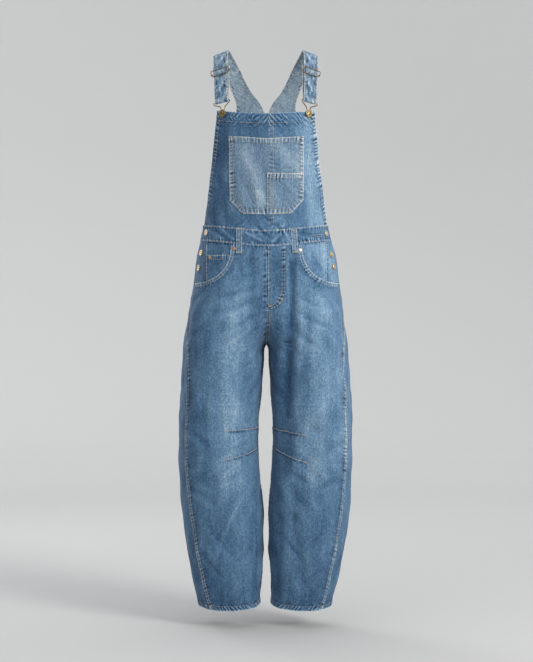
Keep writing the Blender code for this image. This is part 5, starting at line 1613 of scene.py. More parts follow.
BARTACKS = (
    # piece, x, z, turn in degrees, length
    ("bib_pocket_R", -0.0868, -0.2275, 0, 0.0065),
    ("bib_pocket_L", 0.0869, -0.2280, 0, 0.0065),
    ("bib_pencil_pocket", 0.0065, -0.3205, 0, 0.0065),
    ("bib_pencil_pocket", 0.0868, -0.3210, 0, 0.0065),
    ("fly_placket", 0.0372, -0.6310, 90, 0.0090),
    ("fly_placket", 0.0080, -0.6480, 0, 0.0075),
    ("leg_front_R", -0.0970, -0.9582, 0, 0.0065),
    ("leg_front_R", -0.0970, -1.0295, 15, 0.0065),
    ("leg_front_L", 0.0928, -0.9676, -10, 0.0065),
    ("leg_front_L", 0.0975, -1.0377, -22, 0.0065),
)
BUTTONHOLE = ((0.1115, -0.4729), (0.1373, -0.4692))


def flat_spot(panel, x, z):
    """Flat point of a place on the front, on a panel."""
    side = math.copysign(1.0, x)
    u = float(q_at(side, abs(x), z))
    u = u * side if panel.face.kind == "front" else u
    return np.array([float(panel.face.unroll(u, z)), z])


def inset(line, distance, polygon):
    """A flat line moved into its piece."""
    run = unit(np.gradient(line, axis=0))
    out = np.stack([-run[:, 1], run[:, 0]], axis=1)
    probe = (line + out * MM)[len(line) // 2]
    if not polygon_tests(polygon, probe[None])[0][0]:
        out = -out
    return line + out * distance


# Stitches, bartacks and the buttonhole
STITCH = 0.0030                 # length of one stitch
STITCH_GAP = 0.0011
THREAD = 0.00050                # radius of the thread
THREAD_SIDES = 5
DART_THREAD = 0.75 * MM         # radius of the knee darts' heavier thread
DART_SPOTS = 9
DART_RISE = 0.0008
TACK_WIDTH = 0.0022
TACK_PITCH = 0.00048
TACK_THREAD = 0.00030
LOOP_TACK = 0.0032              # distance of a belt loop's bartack from its end
LOOP_TACK_WIDE = 0.86           # its length, as a share of the loop's width
HOLE_WIDTH = 0.0012             # how far the buttonhole's threads start from its middle
HOLE_PITCH = 0.00080
HOLE_THREAD = 0.0022
HOLE_TACK = 0.0062
SLIT = (0.0060, 0.0, 0.0005)    # length, gap and radius of the dark threads in its slit, painted shade of the open slit
SLIT_AT = 0.35 * MM


def make_rows(thread):
    """All rows of topstitching on the panels."""
    for piece, line_name, distance, low, high in ROWS:
        for name, panel in panels.items():
            if name.startswith(piece):
                line = inset(panel.lines[line_name], distance, panel.flat)
                line = line[(line[:, 1] > low) & (line[:, 1] < high)]
                inside, _ = polygon_tests(panel.flat, line)
                thread.row(panel.at_flat, line[inside])
    for mark, _ in SIDES:
        panel = panels["leg_front_" + mark]
        for name in ("high_dart", "low_dart"):
            line = np.linspace(*panel.lines[name], DART_SPOTS) + np.array([0.0, DART_RISE])
            thread.row(panel.at_flat, line, radius=DART_THREAD)


def bartack(thread, panel, centre, turn, length):
    """A dense bar of short threads across its length."""
    along = np.array([math.cos(turn), math.sin(turn)])
    aside = np.array([-along[1], along[0]]) * TACK_WIDTH / 2
    marks = np.arange(-length / 2, length / 2, TACK_PITCH)[:, None]
    start, out = panel.at_flat(centre + along * marks - aside, TACK_THREAD)
    end, _ = panel.at_flat(centre + along * (marks + TACK_PITCH / 2) + aside, TACK_THREAD)
    thread.add(start, end, out, TACK_THREAD)


def make_bartacks(thread, pale):
    """Bartacks on pockets, fly and darts, and paler ones at both ends of each belt loop."""
    for name, x, z, turn, length in BARTACKS:
        panel = panels[name]
        bartack(thread, panel, flat_spot(panel, x, z), math.radians(turn), length)
    for name, panel in panels.items():
        if not name.startswith("belt_loop"):
            continue
        for one, two, shift in ((0, 1, LOOP_TACK), (3, 2, -LOOP_TACK)):
            centre = (panel.flat[one] + panel.flat[two]) / 2 + np.array([0, shift])
            width = np.linalg.norm(panel.flat[one] - panel.flat[two])
            bartack(pale, panel, centre, 0.0, width * LOOP_TACK_WIDE)


def make_buttonhole(thread, dark):
    """The worked buttonhole on the waistband's left, with dark threads as painted shade in its slit.
    """
    panel = panels["waistband_front"]
    start, end = (flat_spot(panel, x, z) for x, z in BUTTONHOLE)
    length = np.linalg.norm(end - start)
    along = (end - start) / length
    aside = np.array([-along[1], along[0]])
    spots = start + along * np.arange(0, length, HOLE_PITCH)[:, None]
    for way in (-1, 1):
        near, out = panel.at_flat(spots + aside * way * HOLE_WIDTH, THREAD / 2)
        far, _ = panel.at_flat(spots + aside * way * (HOLE_WIDTH + HOLE_THREAD), THREAD / 2)
        thread.add(near, far, out)
    for spot in (start, end):
        bartack(thread, panel, spot, math.atan2(aside[1], aside[0]), HOLE_TACK)
    for way in (-1, 1):
        dark.row(panel.at_flat, np.linspace(start, end, 6) + aside * way * SLIT_AT, *SLIT)


def make_strap_rows(thread, strap):
    """Stitches along both edges of a strap, outside and inside."""
    line = np.stack([strap.run, 0 * strap.run], axis=1)[2:-2]
    for way in (1, -1):
        for edge in (-1, 1):
            thread.row(partial(strap.edge_spots, edge, way), line)


# Buttons, rivets and the straps' hardware, as in the solids but finer
WIRE = 1.15 * MM
SLIDER_BACK = 0.078
SLIDER_REACH = 5.0 * MM
SLIDER_HALF = 8.6 * MM
SLIDER_BEND = 5.5 * MM
SLIDER_CLEAR = 0.8 * MM
BAR_WIRE = 1.08 * MM
BAR_BEND = 2.5 * MM
BAR_INSET = 0.5 * MM
SLIDER_STEP = 0.010
HOOK_OVERHANG = 4.2 * MM
HOOK_BEND = 2.4 * MM
HOOK_CLEAR = 0.4 * MM
HOOK_INSET = 0.6 * MM
HOOK_DROP = 4.5 * MM
HOOK_NECK = (
    # distance out from the loop's own half-width, height above the button
    (2.2 * MM, 17.0 * MM),
    (0.0, 9.5 * MM),
)
HOOK_STEPS = 20
BEND_STEPS = 8
WIRE_ROUND = 4                  # how finely the wires are rounded
SHANK = 3.0                     # radius of the shank under the bib button, in millimetres
BIB_BUTTON = (
    # radius and height above the seat, in millimetres
    (0, 0), (SHANK, 0), (SHANK, 3.4), (8.6, 3.4), (9.3, 3.6), (9.75, 4.1), (9.7, 4.6), (9.2, 5.0),
    (8.3, 5.25), (7.4, 5.2), (6.9, 4.85), (6.4, 4.7), (5.2, 4.85), (4.0, 4.95), (3.2, 4.9),
    (2.8, 5.2), (1.8, 5.45), (0, 5.5),
)
SIDE_BUTTON = (
    # radius, height
    (0, 0), (2.2, 0), (2.2, 1.0), (7.0, 1.0), (7.6, 1.2), (7.9, 1.7), (7.8, 2.2), (7.3, 2.6),
    (6.5, 2.85), (5.6, 2.85), (5.0, 2.5), (4.6, 2.3), (3.2, 2.35), (2.2, 2.5), (1.2, 2.75),
    (0, 2.8),
)
RIVET = (
    # radius, height
    (0, 0), (4.2, 0), (4.3, 0.25), (3.9, 0.7), (3.0, 0.95), (2.4, 0.95), (1.9, 1.15), (1.3, 1.4),
    (0, 1.45),
)
BIB_RIPPLE = (11, 4.6, 9.0, 0.42)       # ripples round, inner and outer radius, height
SIDE_RIPPLE = (8, 1.4, 5.4, 0.30)
NO_RIPPLE = (0, 0.0, 1.0, 0.0)
BUTTONS = (
    # node, piece that it is on, x, z, slot, profile, ripple
    ("bib_button_R", "bib_front_R", -0.1087, -0.1655, "old_brass", BIB_BUTTON, BIB_RIPPLE),
    ("bib_button_L", "bib_front_L", 0.1040, -0.1665, "old_brass", BIB_BUTTON, BIB_RIPPLE),
    ("side_button_R1", "waistband_front", -0.1510, -0.4615, "pale_gold", SIDE_BUTTON, SIDE_RIPPLE),
    ("side_button_R2", "side_placket_R", -0.1640, -0.5125, "pale_gold", SIDE_BUTTON, SIDE_RIPPLE),
    ("side_button_R3", "side_placket_R", -0.1700, -0.5505, "pale_gold", SIDE_BUTTON, SIDE_RIPPLE),
    ("side_button_L1", "waistband_front", 0.1490, -0.4640, "pale_gold", SIDE_BUTTON, SIDE_RIPPLE),
    ("side_button_L2", "side_placket_L", 0.1620, -0.5165, "pale_gold", SIDE_BUTTON, SIDE_RIPPLE),
    ("side_button_L3", "side_placket_L", 0.1685, -0.5470, "pale_gold", SIDE_BUTTON, SIDE_RIPPLE),
    ("rivet_pocket_R", "leg_front_R", -0.0805, -0.5045, "copper", RIVET, NO_RIPPLE),
    ("rivet_pocket_L", "leg_front_L", 0.0838, -0.5080, "steel", RIVET, NO_RIPPLE),
    ("rivet_coin_R", "coin_pocket_R", -0.1410, -0.5255, "copper", RIVET, NO_RIPPLE),
)
TURN_SEGMENTS = 56
TURN_SHARP = math.radians(55)   # steeper edges of turned pieces are shaded sharp
LEAST_RADIUS = 0.01             # of a ring, in millimetres
SINK = 0.15 * MM                # how far a button or rivet presses into the cloth


def seat_on(name, x, z):
    """Point and outward direction of the cloth under a fastener."""
    panel = panels[name]
    spot, normal = panel.at_flat(flat_spot(panel, x, z)[None])
    return spot[0], normal[0]


def turned_mesh(name, profile, ripple, centre, axis):
    """A turned piece with ripples round one of its rings."""
    count, inner, outer, height = ripple
    turn = np.linspace(0, 2 * math.pi, TURN_SEGMENTS, endpoint=False)
    across = unit(np.cross(axis, np.array([0.0, 0.0, 1.0])))
    up = np.cross(across, axis)
    round_it = across * np.cos(turn)[:, None] + up * np.sin(turn)[:, None]
    rings = []
    for radius, level in profile:
        inside = max(0.0, 1 - ((radius - (inner + outer) / 2) / ((outer - inner) / 2)) ** 2)
        lift = level + (height * inside * np.cos(count * turn) if level > 1 else 0 * turn)
        spots = round_it * max(radius, LEAST_RADIUS) * MM
        rings.append(centre + spots + axis * (lift * MM)[:, None])
    last = (len(profile) - 1) * TURN_SEGMENTS
    triangles = np.concatenate([halved(tube_quads(len(profile), TURN_SEGMENTS)),
                                cap(0, TURN_SEGMENTS), cap(last, TURN_SEGMENTS)[:, ::-1]])
    mesh = mesh_from(name, np.concatenate(rings), triangles)
    outward(mesh)
    return mesh


def outward(mesh):
    """Turn all faces of a closed mesh outward."""
    form = bmesh.new()
    form.from_mesh(mesh)
    bmesh.ops.recalc_face_normals(form, faces=form.faces)
    form.to_mesh(mesh)
    form.free()
    mesh.set_sharp_from_angle(angle=TURN_SHARP)


def wire_mesh(name, runs):
    """Round wires along runs of points, as one mesh: each run is its points, radius and closed."""
    curve = bpy.data.curves.new(name, "CURVE")
    curve.dimensions = "3D"
    curve.bevel_depth = 1.0
    curve.bevel_resolution = WIRE_ROUND
    curve.use_fill_caps = True
    for points, radius, closed in runs:
        line = curve.splines.new("POLY")
        line.points.add(len(points) - 1)
        for spot, place in zip(line.points, points):
            spot.co = (*place, 1.0)
            spot.radius = radius
        line.use_cyclic_u = closed
    guide = bpy.data.objects.new(name + "_line", curve)
    bpy.context.scene.collection.objects.link(guide)
    bpy.context.view_layer.update()
    seen = guide.evaluated_get(bpy.context.evaluated_depsgraph_get())
    mesh = bpy.data.meshes.new_from_object(seen)
    mesh.name = name
    bpy.data.objects.remove(guide)
    bpy.data.curves.remove(curve)
    mesh.shade_smooth()
    return mesh


def rounded(corners, radius, closed=True):
    """A run of straight stretches with its corners rounded off."""
    line = []
    total = len(corners)
    for i, corner in enumerate(corners):
        if not closed and i in (0, total - 1):
            line.append(corner)
            continue
        before = corners[i - 1] - corner
        after = corners[(i + 1) % total] - corner
        cut = min(radius, np.linalg.norm(before) / 2.1, np.linalg.norm(after) / 2.1)
        start = corner + unit(before) * cut
        end = corner + unit(after) * cut
        for k in range(BEND_STEPS + 1):
            t = k / BEND_STEPS
            line.append((1 - t) ** 2 * start + 2 * t * (1 - t) * corner + t * t * end)
    return line


def make_slider(mark, material):
    """The strap's adjuster: a frame in front of the strap and a bar behind it."""
    inner, outer, side = strap_curve(mark)
    facing = band_normals(inner, outer, side)
    centre = (inner + outer) / 2
    back = distance_back(inner, outer)
    middle = read_back(back, centre, SLIDER_BACK)
    ahead = unit(read_back(back, facing, SLIDER_BACK))
    wide = read_back(back, outer, SLIDER_BACK) - read_back(back, inner, SLIDER_BACK)
    half = np.linalg.norm(wide) / 2 + SLIDER_REACH
    wide = unit(wide)
    up = read_back(back, centre, SLIDER_BACK + SLIDER_STEP)
    up -= read_back(back, centre, SLIDER_BACK - SLIDER_STEP)
    up = unit(up - wide * (up @ wide))
    front = middle + ahead * (SLIDER_CLEAR + WIRE)
    corners = [front + wide * half * a + up * SLIDER_HALF * b
               for a, b in ((-1, -1), (1, -1), (1, 1), (-1, 1))]
    behind = middle - ahead * (DOUBLE + FRONT_FOLD / 2)
    narrow = half - BAR_INSET
    run = [front - wide * half, behind - wide * narrow, behind + wide * narrow, front + wide * half]
    mesh = wire_mesh("wire_slider_" + mark, [
        (rounded(corners, SLIDER_BEND), WIRE, True),
        (rounded(run, BAR_BEND, closed=False), BAR_WIRE, False)])
    add_piece("wire_slider_" + mark, mesh, material, ["slider_" + mark])


def make_hook(mark, x, z, material):
    """The bent wire that carries the bib: a bar through the strap and a loop round the button."""
    inner, outer, down, ahead = front_end(mark)
    half = np.linalg.norm(outer - inner) / 2 + HOOK_OVERHANG
    wide = unit(outer - inner)
    bar = (inner + outer) / 2 - ahead * (DOUBLE + FRONT_FOLD / 2)
    ring = SHANK * MM + SEAM + WIRE
    spot, normal = seat_on("bib_front_" + mark, x, z)
    centre = spot + normal * (SEAM + HOOK_CLEAR + WIRE)
    up = np.array([0.0, 0.0, 1.0])
    up = unit(up - normal * (up @ normal))
    out = np.cross(normal, up)
    out = out * math.copysign(1.0, out @ wide)
    arms = []
    for way in (1, -1):
        corners = [bar, bar + wide * half * way]
        corners.append(bar + wide * (half - HOOK_INSET) * way + down * HOOK_DROP)
        corners += [centre + out * (ring + aside) * way + up * rise for aside, rise in HOOK_NECK]
        arms.append(rounded(corners, HOOK_BEND, closed=False)[1:])
    loop = []
    for i in range(HOOK_STEPS + 1):
        angle = math.pi * i / HOOK_STEPS
        loop.append(centre + out * (ring * math.cos(angle)) - up * (ring * math.sin(angle)))
    mesh = wire_mesh("wire_hook_" + mark, [(arms[0] + loop + arms[1][::-1], WIRE, True)])
    add_piece("wire_hook_" + mark, mesh, material, ["hook_" + mark])


def make_fasteners(looks):
    """Buttons and rivets on the cloth, and each strap's slider and hook."""
    for node, name, x, z, slot, profile, ripple in BUTTONS:
        centre, normal = seat_on(name, x, z)
        mesh = turned_mesh("turned_" + node, profile, ripple, centre - normal * SINK, normal)
        add_piece("turned_" + node, mesh, looks[slot], [node])
        if node.startswith("bib_button"):
            make_hook(node[-1], x, z, looks["old_brass"])
            make_slider(node[-1], looks["old_brass"])


def new_material(name):
    """An empty node material, its output and its shader."""
    material = bpy.data.materials.new(name)
    material.use_nodes = True
    nodes = material.node_tree.nodes
    nodes.clear()
    output = nodes.new("ShaderNodeOutputMaterial")
    shader = nodes.new("ShaderNodeBsdfPrincipled")
    material.node_tree.links.new(shader.outputs["BSDF"], output.inputs["Surface"])
    return material, shader


class Nodes:
    """Short calls for building one node tree."""

    def __init__(self, material):
        self.tree = material.node_tree

    def link(self, value, socket):
        """Join an output to a socket, or set a number on it."""
        if isinstance(value, bpy.types.NodeSocket):
            self.tree.links.new(value, socket)
        else:
            socket.default_value = value

    def math(self, operation, *values, clamp=False):
        """A math node's result."""
        node = self.tree.nodes.new("ShaderNodeMath")
        node.operation = operation
        node.use_clamp = clamp
        for value, socket in zip(values, node.inputs):
            self.link(value, socket)
        return node.outputs[0]

    def attribute(self, name):
        """A number stored on the mesh."""
        node = self.tree.nodes.new("ShaderNodeAttribute")
        node.attribute_name = name
        return node.outputs["Fac"]

    def weave(self):
        """The flat coordinates in metres."""
        node = self.tree.nodes.new("ShaderNodeUVMap")
        node.uv_map = "weave"
        return node.outputs["UV"]

    def scaled(self, vector, scale, turn=0.0):
        """A vector scaled on each axis, and turned."""
        node = self.tree.nodes.new("ShaderNodeMapping")
        self.link(vector, node.inputs["Vector"])
        node.inputs["Scale"].default_value = scale
        node.inputs["Rotation"].default_value = (0, 0, turn)
        return node.outputs["Vector"]

    def noise(self, vector, scale=1.0, detail=2.0, rough=0.5):
        """A noise texture's value."""
        node = self.tree.nodes.new("ShaderNodeTexNoise")
        self.link(vector, node.inputs["Vector"])
        node.inputs["Scale"].default_value = scale
        node.inputs["Detail"].default_value = detail
        node.inputs["Roughness"].default_value = rough
        return node.outputs["Fac"]

    def speckle(self, fine, broad):
        """Two noises in space added up, and the fine one by itself."""
        place = self.tree.nodes.new("ShaderNodeNewGeometry").outputs["Position"]
        noises = []
        parts = []
        for scale, detail, rough, weight in (fine, broad):
            noises.append(self.noise(self.scaled(place, (scale,) * 3), 1.0, detail, rough))
            parts.append(self.math("MULTIPLY", noises[-1], weight))
        return self.math("ADD", *parts), noises[0]

    def ramp(self, value, stops):
        """Colours along a value: stops are place and colour."""
        node = self.tree.nodes.new("ShaderNodeValToRGB")
        self.link(value, node.inputs["Fac"])
        line = node.color_ramp
        while len(line.elements) < len(stops):
            line.elements.new(0.5)
        for element, (place, colour) in zip(line.elements, stops):
            element.position = place
            element.color = (*colour, 1.0)
        return node.outputs["Color"]

    def bump(self, height, distance, strength=1.0):
        """A bump normal from a height."""
        node = self.tree.nodes.new("ShaderNodeBump")
        node.inputs["Strength"].default_value = strength
        node.inputs["Distance"].default_value = distance
        self.link(height, node.inputs["Height"])
        return node.outputs["Normal"]


TWILL = 0.00085                 # distance between two twill lines
TWILL_TURN = math.radians(-63)
TWILL_TONE = 0.035
DENIM_NOISES = {
    # name: scale across, along and deep, detail, roughness, weight in the tone
    "slub": ((500, 95, 1), 3.0, 0.60, 0.55),
    "streak": ((150, 14, 1), 2.0, 0.50, 0.24),
    "speck": ((520, 300, 1), 3.0, 0.75, 0.70),
    "cloud": ((15, 9, 1), 3.0, 0.60, 1.0),
    "mottle": ((190, 150, 1), 3.0, 0.65, 0.60),
}
DENIM_LOOK = {
    "Specular IOR Level": 0.20,
    "Sheen Weight": 0.14,
    "Sheen Roughness": 0.45,
    "Sheen Tint": (0.75, 0.85, 1.0, 1.0),
}
WORN_RIM = 0.0021               # how far in a worn edge is paler
WORN_TONE = 0.85
WEAVE_BUMP = (0.25 * MM, 0.8)   # depth and strength
TWILL_RISE = 0.25
WEAVE_RISES = (("slub", 0.9), ("speck", 0.7))
DENIM_ROUGH = 0.80
SLUB_ROUGH = 0.14
INDIGO = (
    # place along the tone, linear colour
    (0.00, (0.010, 0.031, 0.076)),
    (0.25, (0.030, 0.077, 0.150)),
    (0.50, (0.080, 0.158, 0.255)),
    (0.75, (0.180, 0.282, 0.382)),
    (1.00, (0.450, 0.500, 0.510)),
)
FADED = (
    # the same for the greyer cloth of pockets, straps and belt loops
    (0.00, (0.010, 0.030, 0.074)),
    (0.25, (0.032, 0.075, 0.144)),
    (0.50, (0.092, 0.158, 0.236)),
    (0.75, (0.200, 0.275, 0.345)),
    (1.00, (0.450, 0.480, 0.480)),
)
FADED_PIECES = ("bib_pocket", "bib_pencil", "belt_loop")


def denim_material(name, base, colours, clouds):
    """Washed denim: twill, slubs, speckle, fades and painted light and shade by tone, worn ridges
    with painted shade in the hollows, worn edges, and sheen.
    """
    material, shader = new_material(name)
    n = Nodes(material)
    weave = n.weave()
    noises = {key: n.noise(n.scaled(weave, scale), 1.0, detail, rough)
              for key, (scale, detail, rough, _) in DENIM_NOISES.items()}
    wave = n.tree.nodes.new("ShaderNodeSeparateXYZ")
    n.link(n.scaled(weave, (1 / TWILL, 1 / TWILL, 1), TWILL_TURN), wave.inputs[0])
    twill = n.math("SINE", n.math("MULTIPLY", wave.outputs[0], 2 * math.pi))
    level = n.math("ADD", base, n.attribute("tone"))
    # Worn ridges paler, and painted shade in the hollows
    level = n.math("ADD", level, n.attribute("wear_and_shade"))
    for key, (_, _, _, weight) in DENIM_NOISES.items():
        part = n.math("SUBTRACT", noises[key], 0.5)
        weight = clouds if key == "cloud" else weight
        level = n.math("ADD", level, n.math("MULTIPLY", part, weight))
    level = n.math("ADD", level, n.math("MULTIPLY", twill, TWILL_TONE))
    rim = n.math("SUBTRACT", 1.0, n.math("DIVIDE", n.attribute("edge"), WORN_RIM), clamp=True)
    rim = n.math("MULTIPLY", rim, n.math("MULTIPLY", noises["mottle"], WORN_TONE))
    level = n.math("ADD", level, rim, clamp=True)
    n.link(n.ramp(level, colours), shader.inputs["Base Color"])
    rough = n.math("ADD", DENIM_ROUGH, n.math("MULTIPLY", noises["slub"], SLUB_ROUGH))
    n.link(rough, shader.inputs["Roughness"])
    for key, value in DENIM_LOOK.items():
        shader.inputs[key].default_value = value
    high = n.math("MULTIPLY", twill, TWILL_RISE)
    for key, rise in WEAVE_RISES:
        high = n.math("ADD", high, n.math("MULTIPLY", noises[key], rise))
    n.link(n.bump(high, *WEAVE_BUMP), shader.inputs["Normal"])
    return material


STITCH_RINGS = (
    # place along the stitch, thickness, height above the cloth in radii
    (0.03, 0.55, -0.3),
    (0.28, 1.0, 0.75),
    (0.72, 1.0, 0.75),
    (0.97, 0.55, -0.3),
)


class Thread:
    """Stitches gathered for one mesh."""

    def __init__(self, name, material):
        self.name = name
        self.material = material
        self.stitches = []

    def add(self, start, end, out, radius=THREAD):
        """Stitches from arrays of start and end points and outward directions."""
        self.stitches.append((start, end, out, np.full(len(start), radius)))

    def row(self, place, line, length=STITCH, gap=STITCH_GAP, radius=THREAD):
        """A row of stitches along a line of flat points, on the cloth that place gives."""
        if len(line) < 2:
            return
        before = run_along(line)
        count = int(before[-1] / (length + gap))
        if count < 1:
            return
        pitch = before[-1] / count
        marks = np.arange(count) * pitch
        ends = marks + pitch - gap
        start, out = place(np.stack([np.interp(marks, before, line[:, k]) for k in (0, 1)], axis=1))
        end, _ = place(np.stack([np.interp(ends, before, line[:, k]) for k in (0, 1)], axis=1))
        self.add(start, end, out, radius)

    def build(self):
        """Make the mesh: each stitch is a short thread that dips into the cloth at its ends."""
        start, end, out, radius = (np.concatenate(column) for column in zip(*self.stitches))
        along = end - start
        along /= np.maximum(np.linalg.norm(along, axis=1, keepdims=True), 1e-9)
        aside = np.cross(out, along)
        aside /= np.maximum(np.linalg.norm(aside, axis=1, keepdims=True), 1e-9)
        sides = THREAD_SIDES
        rings = []
        for share, size, rise in STITCH_RINGS:
            centre = start + (end - start) * share + out * (rise * radius)[:, None]
            for k in range(sides):
                turn = 2 * math.pi * k / sides
                spoke = aside * math.cos(turn) + out * math.sin(turn)
                rings.append(centre + spoke * (radius * size)[:, None])
        points = np.stack(rings, axis=1)
        last = len(rings) - sides
        faces = np.concatenate([halved(tube_quads(len(STITCH_RINGS), sides)),
                                cap(0, sides), cap(last, sides)[:, ::-1]])
        offset = np.arange(len(points)) * len(rings)
        triangles = (faces[None] + offset[:, None, None]).reshape(-1, 3)
        mesh = mesh_from(self.name, points.reshape(-1, 3), triangles)
        add_piece(self.name, mesh, self.material)


THREADS = (
    # piece, look, colour
    ("stitches_tan", "thread_tan", (0.40, 0.305, 0.165)),
    ("stitches_bartack", "thread_rust", (0.38, 0.22, 0.085)),
    ("stitches_buttonhole", "thread_blue", (0.16, 0.24, 0.34)),
    ("buttonhole_slit_shade", "thread_slit_shade", (0.012, 0.018, 0.03)),
)
THREAD_NOISES = (
    # scale, detail, roughness, weight
    (600, 2.0, 0.6, 0.6),
    (30, 2.0, 0.5, 0.5),
)
THREAD_DARK = 0.55              # its darker and its paler places, against its colour
THREAD_PALE = 1.35
THREAD_STOPS = (0.30, 0.55, 0.80)
THREAD_BUMP = (0.2 * MM, 0.6)   # depth and strength


def thread_material(name, colour):
    """Twisted cotton thread."""
    material, shader = new_material(name)
    n = Nodes(material)
    value, fleck = n.speckle(*THREAD_NOISES)
    dark = tuple(c * THREAD_DARK for c in colour)
    pale = tuple(min(1.0, c * THREAD_PALE) for c in colour)
    stops = tuple(zip(THREAD_STOPS, (dark, colour, pale)))
    n.link(n.ramp(value, stops), shader.inputs["Base Color"])
    n.link(n.bump(fleck, *THREAD_BUMP), shader.inputs["Normal"])
    shader.inputs["Roughness"].default_value = 0.75
    shader.inputs["Sheen Weight"].default_value = 0.3
    return material


METALS = (
    # slot, dark, middle and bright colour, roughness
    ("old_brass", (0.04, 0.028, 0.015), (0.20, 0.14, 0.06), (0.52, 0.40, 0.20), 0.26),
    ("pale_gold", (0.35, 0.24, 0.12), (0.68, 0.52, 0.30), (0.85, 0.72, 0.48), 0.22),
    ("copper", (0.22, 0.11, 0.05), (0.50, 0.27, 0.13), (0.72, 0.46, 0.27), 0.28),
    ("steel", (0.33, 0.32, 0.29), (0.56, 0.53, 0.47), (0.74, 0.70, 0.61), 0.30),
)
METAL_NOISES = (
    # scale, detail, roughness, weight
    (900, 4.0, 0.6, 0.6),
    (150, 2.0, 0.5, 0.4),
)
METAL_STOPS = (0.35, 0.52, 0.68)
METAL_BUMP = (0.15 * MM, 0.35)  # depth and strength
PATINA_ROUGH = 0.25             # how much rougher the patina is


def metal_material(name, dark, mid, bright, rough):
    """Cast or plated metal, with darker places and worn bright spots at random, and fine bumps."""
    material, shader = new_material(name)
    n = Nodes(material)
    value, patina = n.speckle(*METAL_NOISES)
    stops = tuple(zip(METAL_STOPS, (dark, mid, bright)))
    n.link(n.ramp(value, stops), shader.inputs["Base Color"])
    rough = n.math("ADD", rough, n.math("MULTIPLY", patina, PATINA_ROUGH))
    n.link(rough, shader.inputs["Roughness"])
    shader.inputs["Metallic"].default_value = 1.0
    n.link(n.bump(patina, *METAL_BUMP), shader.inputs["Normal"])
    return material


# Painted shade on the stage: darker near the middle, paler further out
STAGE_SHADE_TINTS = (
    # share of the way out, colour
    (0.0, (0.45, 0.448, 0.445)),
    (0.35, (0.61, 0.607, 0.601)),
    (0.70, (0.725, 0.721, 0.713)),
    (1.0, (0.79, 0.786, 0.777)),
)
TINT_START = 1.5                # distance from the origin where the tint begins to change
TINT_SPAN = 4.3                 # and over which it changes


def stage_material():
    """Pale floor and backdrop, all of one piece, with painted shade that darkens the floor towards
    the middle.
    """
    material, shader = new_material("stage_pale")
    n = Nodes(material)
    place = n.tree.nodes.new("ShaderNodeNewGeometry").outputs["Position"]
    away = n.tree.nodes.new("ShaderNodeVectorMath")
    away.operation = "LENGTH"
    n.link(place, away.inputs[0])
    share = n.math("SUBTRACT", away.outputs["Value"], TINT_START)
    share = n.math("DIVIDE", share, TINT_SPAN, clamp=True)
    n.link(n.ramp(share, STAGE_SHADE_TINTS), shader.inputs["Base Color"])
    shader.inputs["Roughness"].default_value = 0.9
    shader.inputs["Specular IOR Level"].default_value = 0.1
    return material


FLOOR = -1.460                  # the floor, a little below the hems
STAGE_FLAT = 5.6                # radius of its flat part
STAGE_INNER = 1.4               # radius of the innermost ring
STAGE_CURVE = 2.2               # radius of the bend up to the wall
STAGE_BENDS = 16
STAGE_WALL = 3.5                # height of the wall
STAGE_SEGMENTS = 128


def make_stage():
    """A round pale floor that bends up into a wall, open at the top."""
    profile = [(STAGE_INNER, 0.0), (STAGE_FLAT, 0.0)]
    for i in range(1, STAGE_BENDS + 1):
        angle = math.pi / 2 * i / STAGE_BENDS
        reach = STAGE_FLAT + STAGE_CURVE * math.sin(angle)
        profile.append((reach, STAGE_CURVE * (1 - math.cos(angle))))
    profile.append((STAGE_FLAT + STAGE_CURVE, STAGE_WALL))
    turn = np.linspace(0, 2 * math.pi, STAGE_SEGMENTS, endpoint=False)
    points = [(r * math.cos(a), r * math.sin(a), FLOOR + h) for r, h in profile for a in turn]
    middle = len(points)
    points.append((0, 0, FLOOR))
    k = np.arange(STAGE_SEGMENTS)
    fan = np.stack([0 * k + middle, (k + 1) % STAGE_SEGMENTS, k], axis=1)
    triangles = np.concatenate([halved(tube_quads(len(profile), STAGE_SEGMENTS)), fan])
    mesh = mesh_from("stage", np.array(points), triangles[:, ::-1])
    mesh.materials.append(stage_material())
    stage = bpy.data.objects.new("stage", mesh)
    bpy.context.scene.collection.objects.link(stage)


PHOTO_HEIGHT = 662
PIXEL = 2.55 * MM               # what a pixel of the photograph covers in the middle plane
CAMERA_Z = -0.709
CAMERA_AWAY = 4.0
SENSOR = 36.0
VIEW_END = 60.0                 # how far the camera sees


def make_camera():
    """Level camera in front of the garment, at the photograph's distance and angle."""
    data = bpy.data.cameras.new("camera")
    data.sensor_width = SENSOR
    data.lens = SENSOR * CAMERA_AWAY / (PHOTO_HEIGHT * PIXEL)
    data.clip_end = VIEW_END
    camera = bpy.data.objects.new("camera", data)
    camera.location = (0.0, -CAMERA_AWAY, CAMERA_Z)
    camera.rotation_euler = (math.pi / 2, 0.0, 0.0)
    bpy.context.scene.collection.objects.link(camera)
    bpy.context.scene.camera = camera


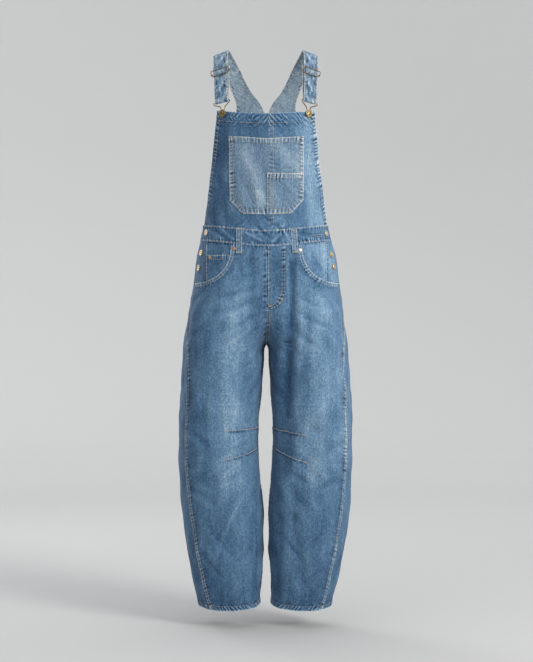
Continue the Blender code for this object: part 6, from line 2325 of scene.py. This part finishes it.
LIGHTS = (
    # name, place, size, watts, spread in degrees, colour
    ("key", (2.9, -2.9, 0.85), 1.7, 36.0, 80, (1.0, 0.985, 0.96)),
    ("fill", (-2.6, -3.2, 0.2), 2.4, 4.0, 110, (0.90, 0.95, 1.0)),
    ("top", (0.2, 0.2, 3.0), 2.6, 40.0, 180, (1.0, 1.0, 1.0)),
    ("rim", (-2.0, 2.6, 0.9), 1.6, 12.0, 100, (0.95, 0.98, 1.0)),
)
AIM = Vector((0.0, 0.0, -0.65))
WORLD_COLOUR = (0.96, 0.98, 1.0, 1.0)
WORLD_STRENGTH = 0.82


def make_lights():
    """A large soft key from the viewer's right, a weak fill, soft light from above and a rim."""
    for name, place, size, watts, spread, colour in LIGHTS:
        data = bpy.data.lights.new(name, "AREA")
        data.shape = "DISK"
        data.size = size
        data.energy = watts
        data.spread = math.radians(spread)
        data.color = colour
        light = bpy.data.objects.new(name, data)
        light.location = place
        light.rotation_euler = (AIM - Vector(place)).to_track_quat("-Z", "Y").to_euler()
        light.visible_camera = False
        bpy.context.scene.collection.objects.link(light)
    world = bpy.data.worlds.new("studio")
    world.use_nodes = True
    background = world.node_tree.nodes["Background"]
    background.inputs["Color"].default_value = WORLD_COLOUR
    background.inputs["Strength"].default_value = WORLD_STRENGTH
    bpy.context.scene.world = world
    bpy.context.scene.view_settings.view_transform = "Standard"


def main():
    """Build the whole scene."""
    make_stage()
    make_camera()
    make_lights()
    make_legs()
    make_hips()
    make_fly()
    make_waist()
    make_bib()
    make_bib_pockets()
    make_back_bib()
    denim = denim_material("denim_washed", 0.40, INDIGO, 0.60)
    faded = denim_material("denim_faded", 0.405, FADED, 0.35)
    for name, panel in panels.items():
        look = faded if name.startswith(FADED_PIECES) else denim
        add_panel(panel, look)
    looks = {slot: metal_material(slot + "_look", *values) for slot, *values in METALS}
    straps = [add_strap(mark, faded) for mark, _ in SIDES]
    threads = [Thread(name, thread_material(look, colour)) for name, look, colour in THREADS]
    tan, rust, blue, dark = threads
    make_rows(tan)
    for strap in straps:
        make_strap_rows(tan, strap)
    make_bartacks(rust, tan)
    make_buttonhole(blue, dark)
    for thread in threads:
        thread.build()
    make_fasteners(looks)


main()
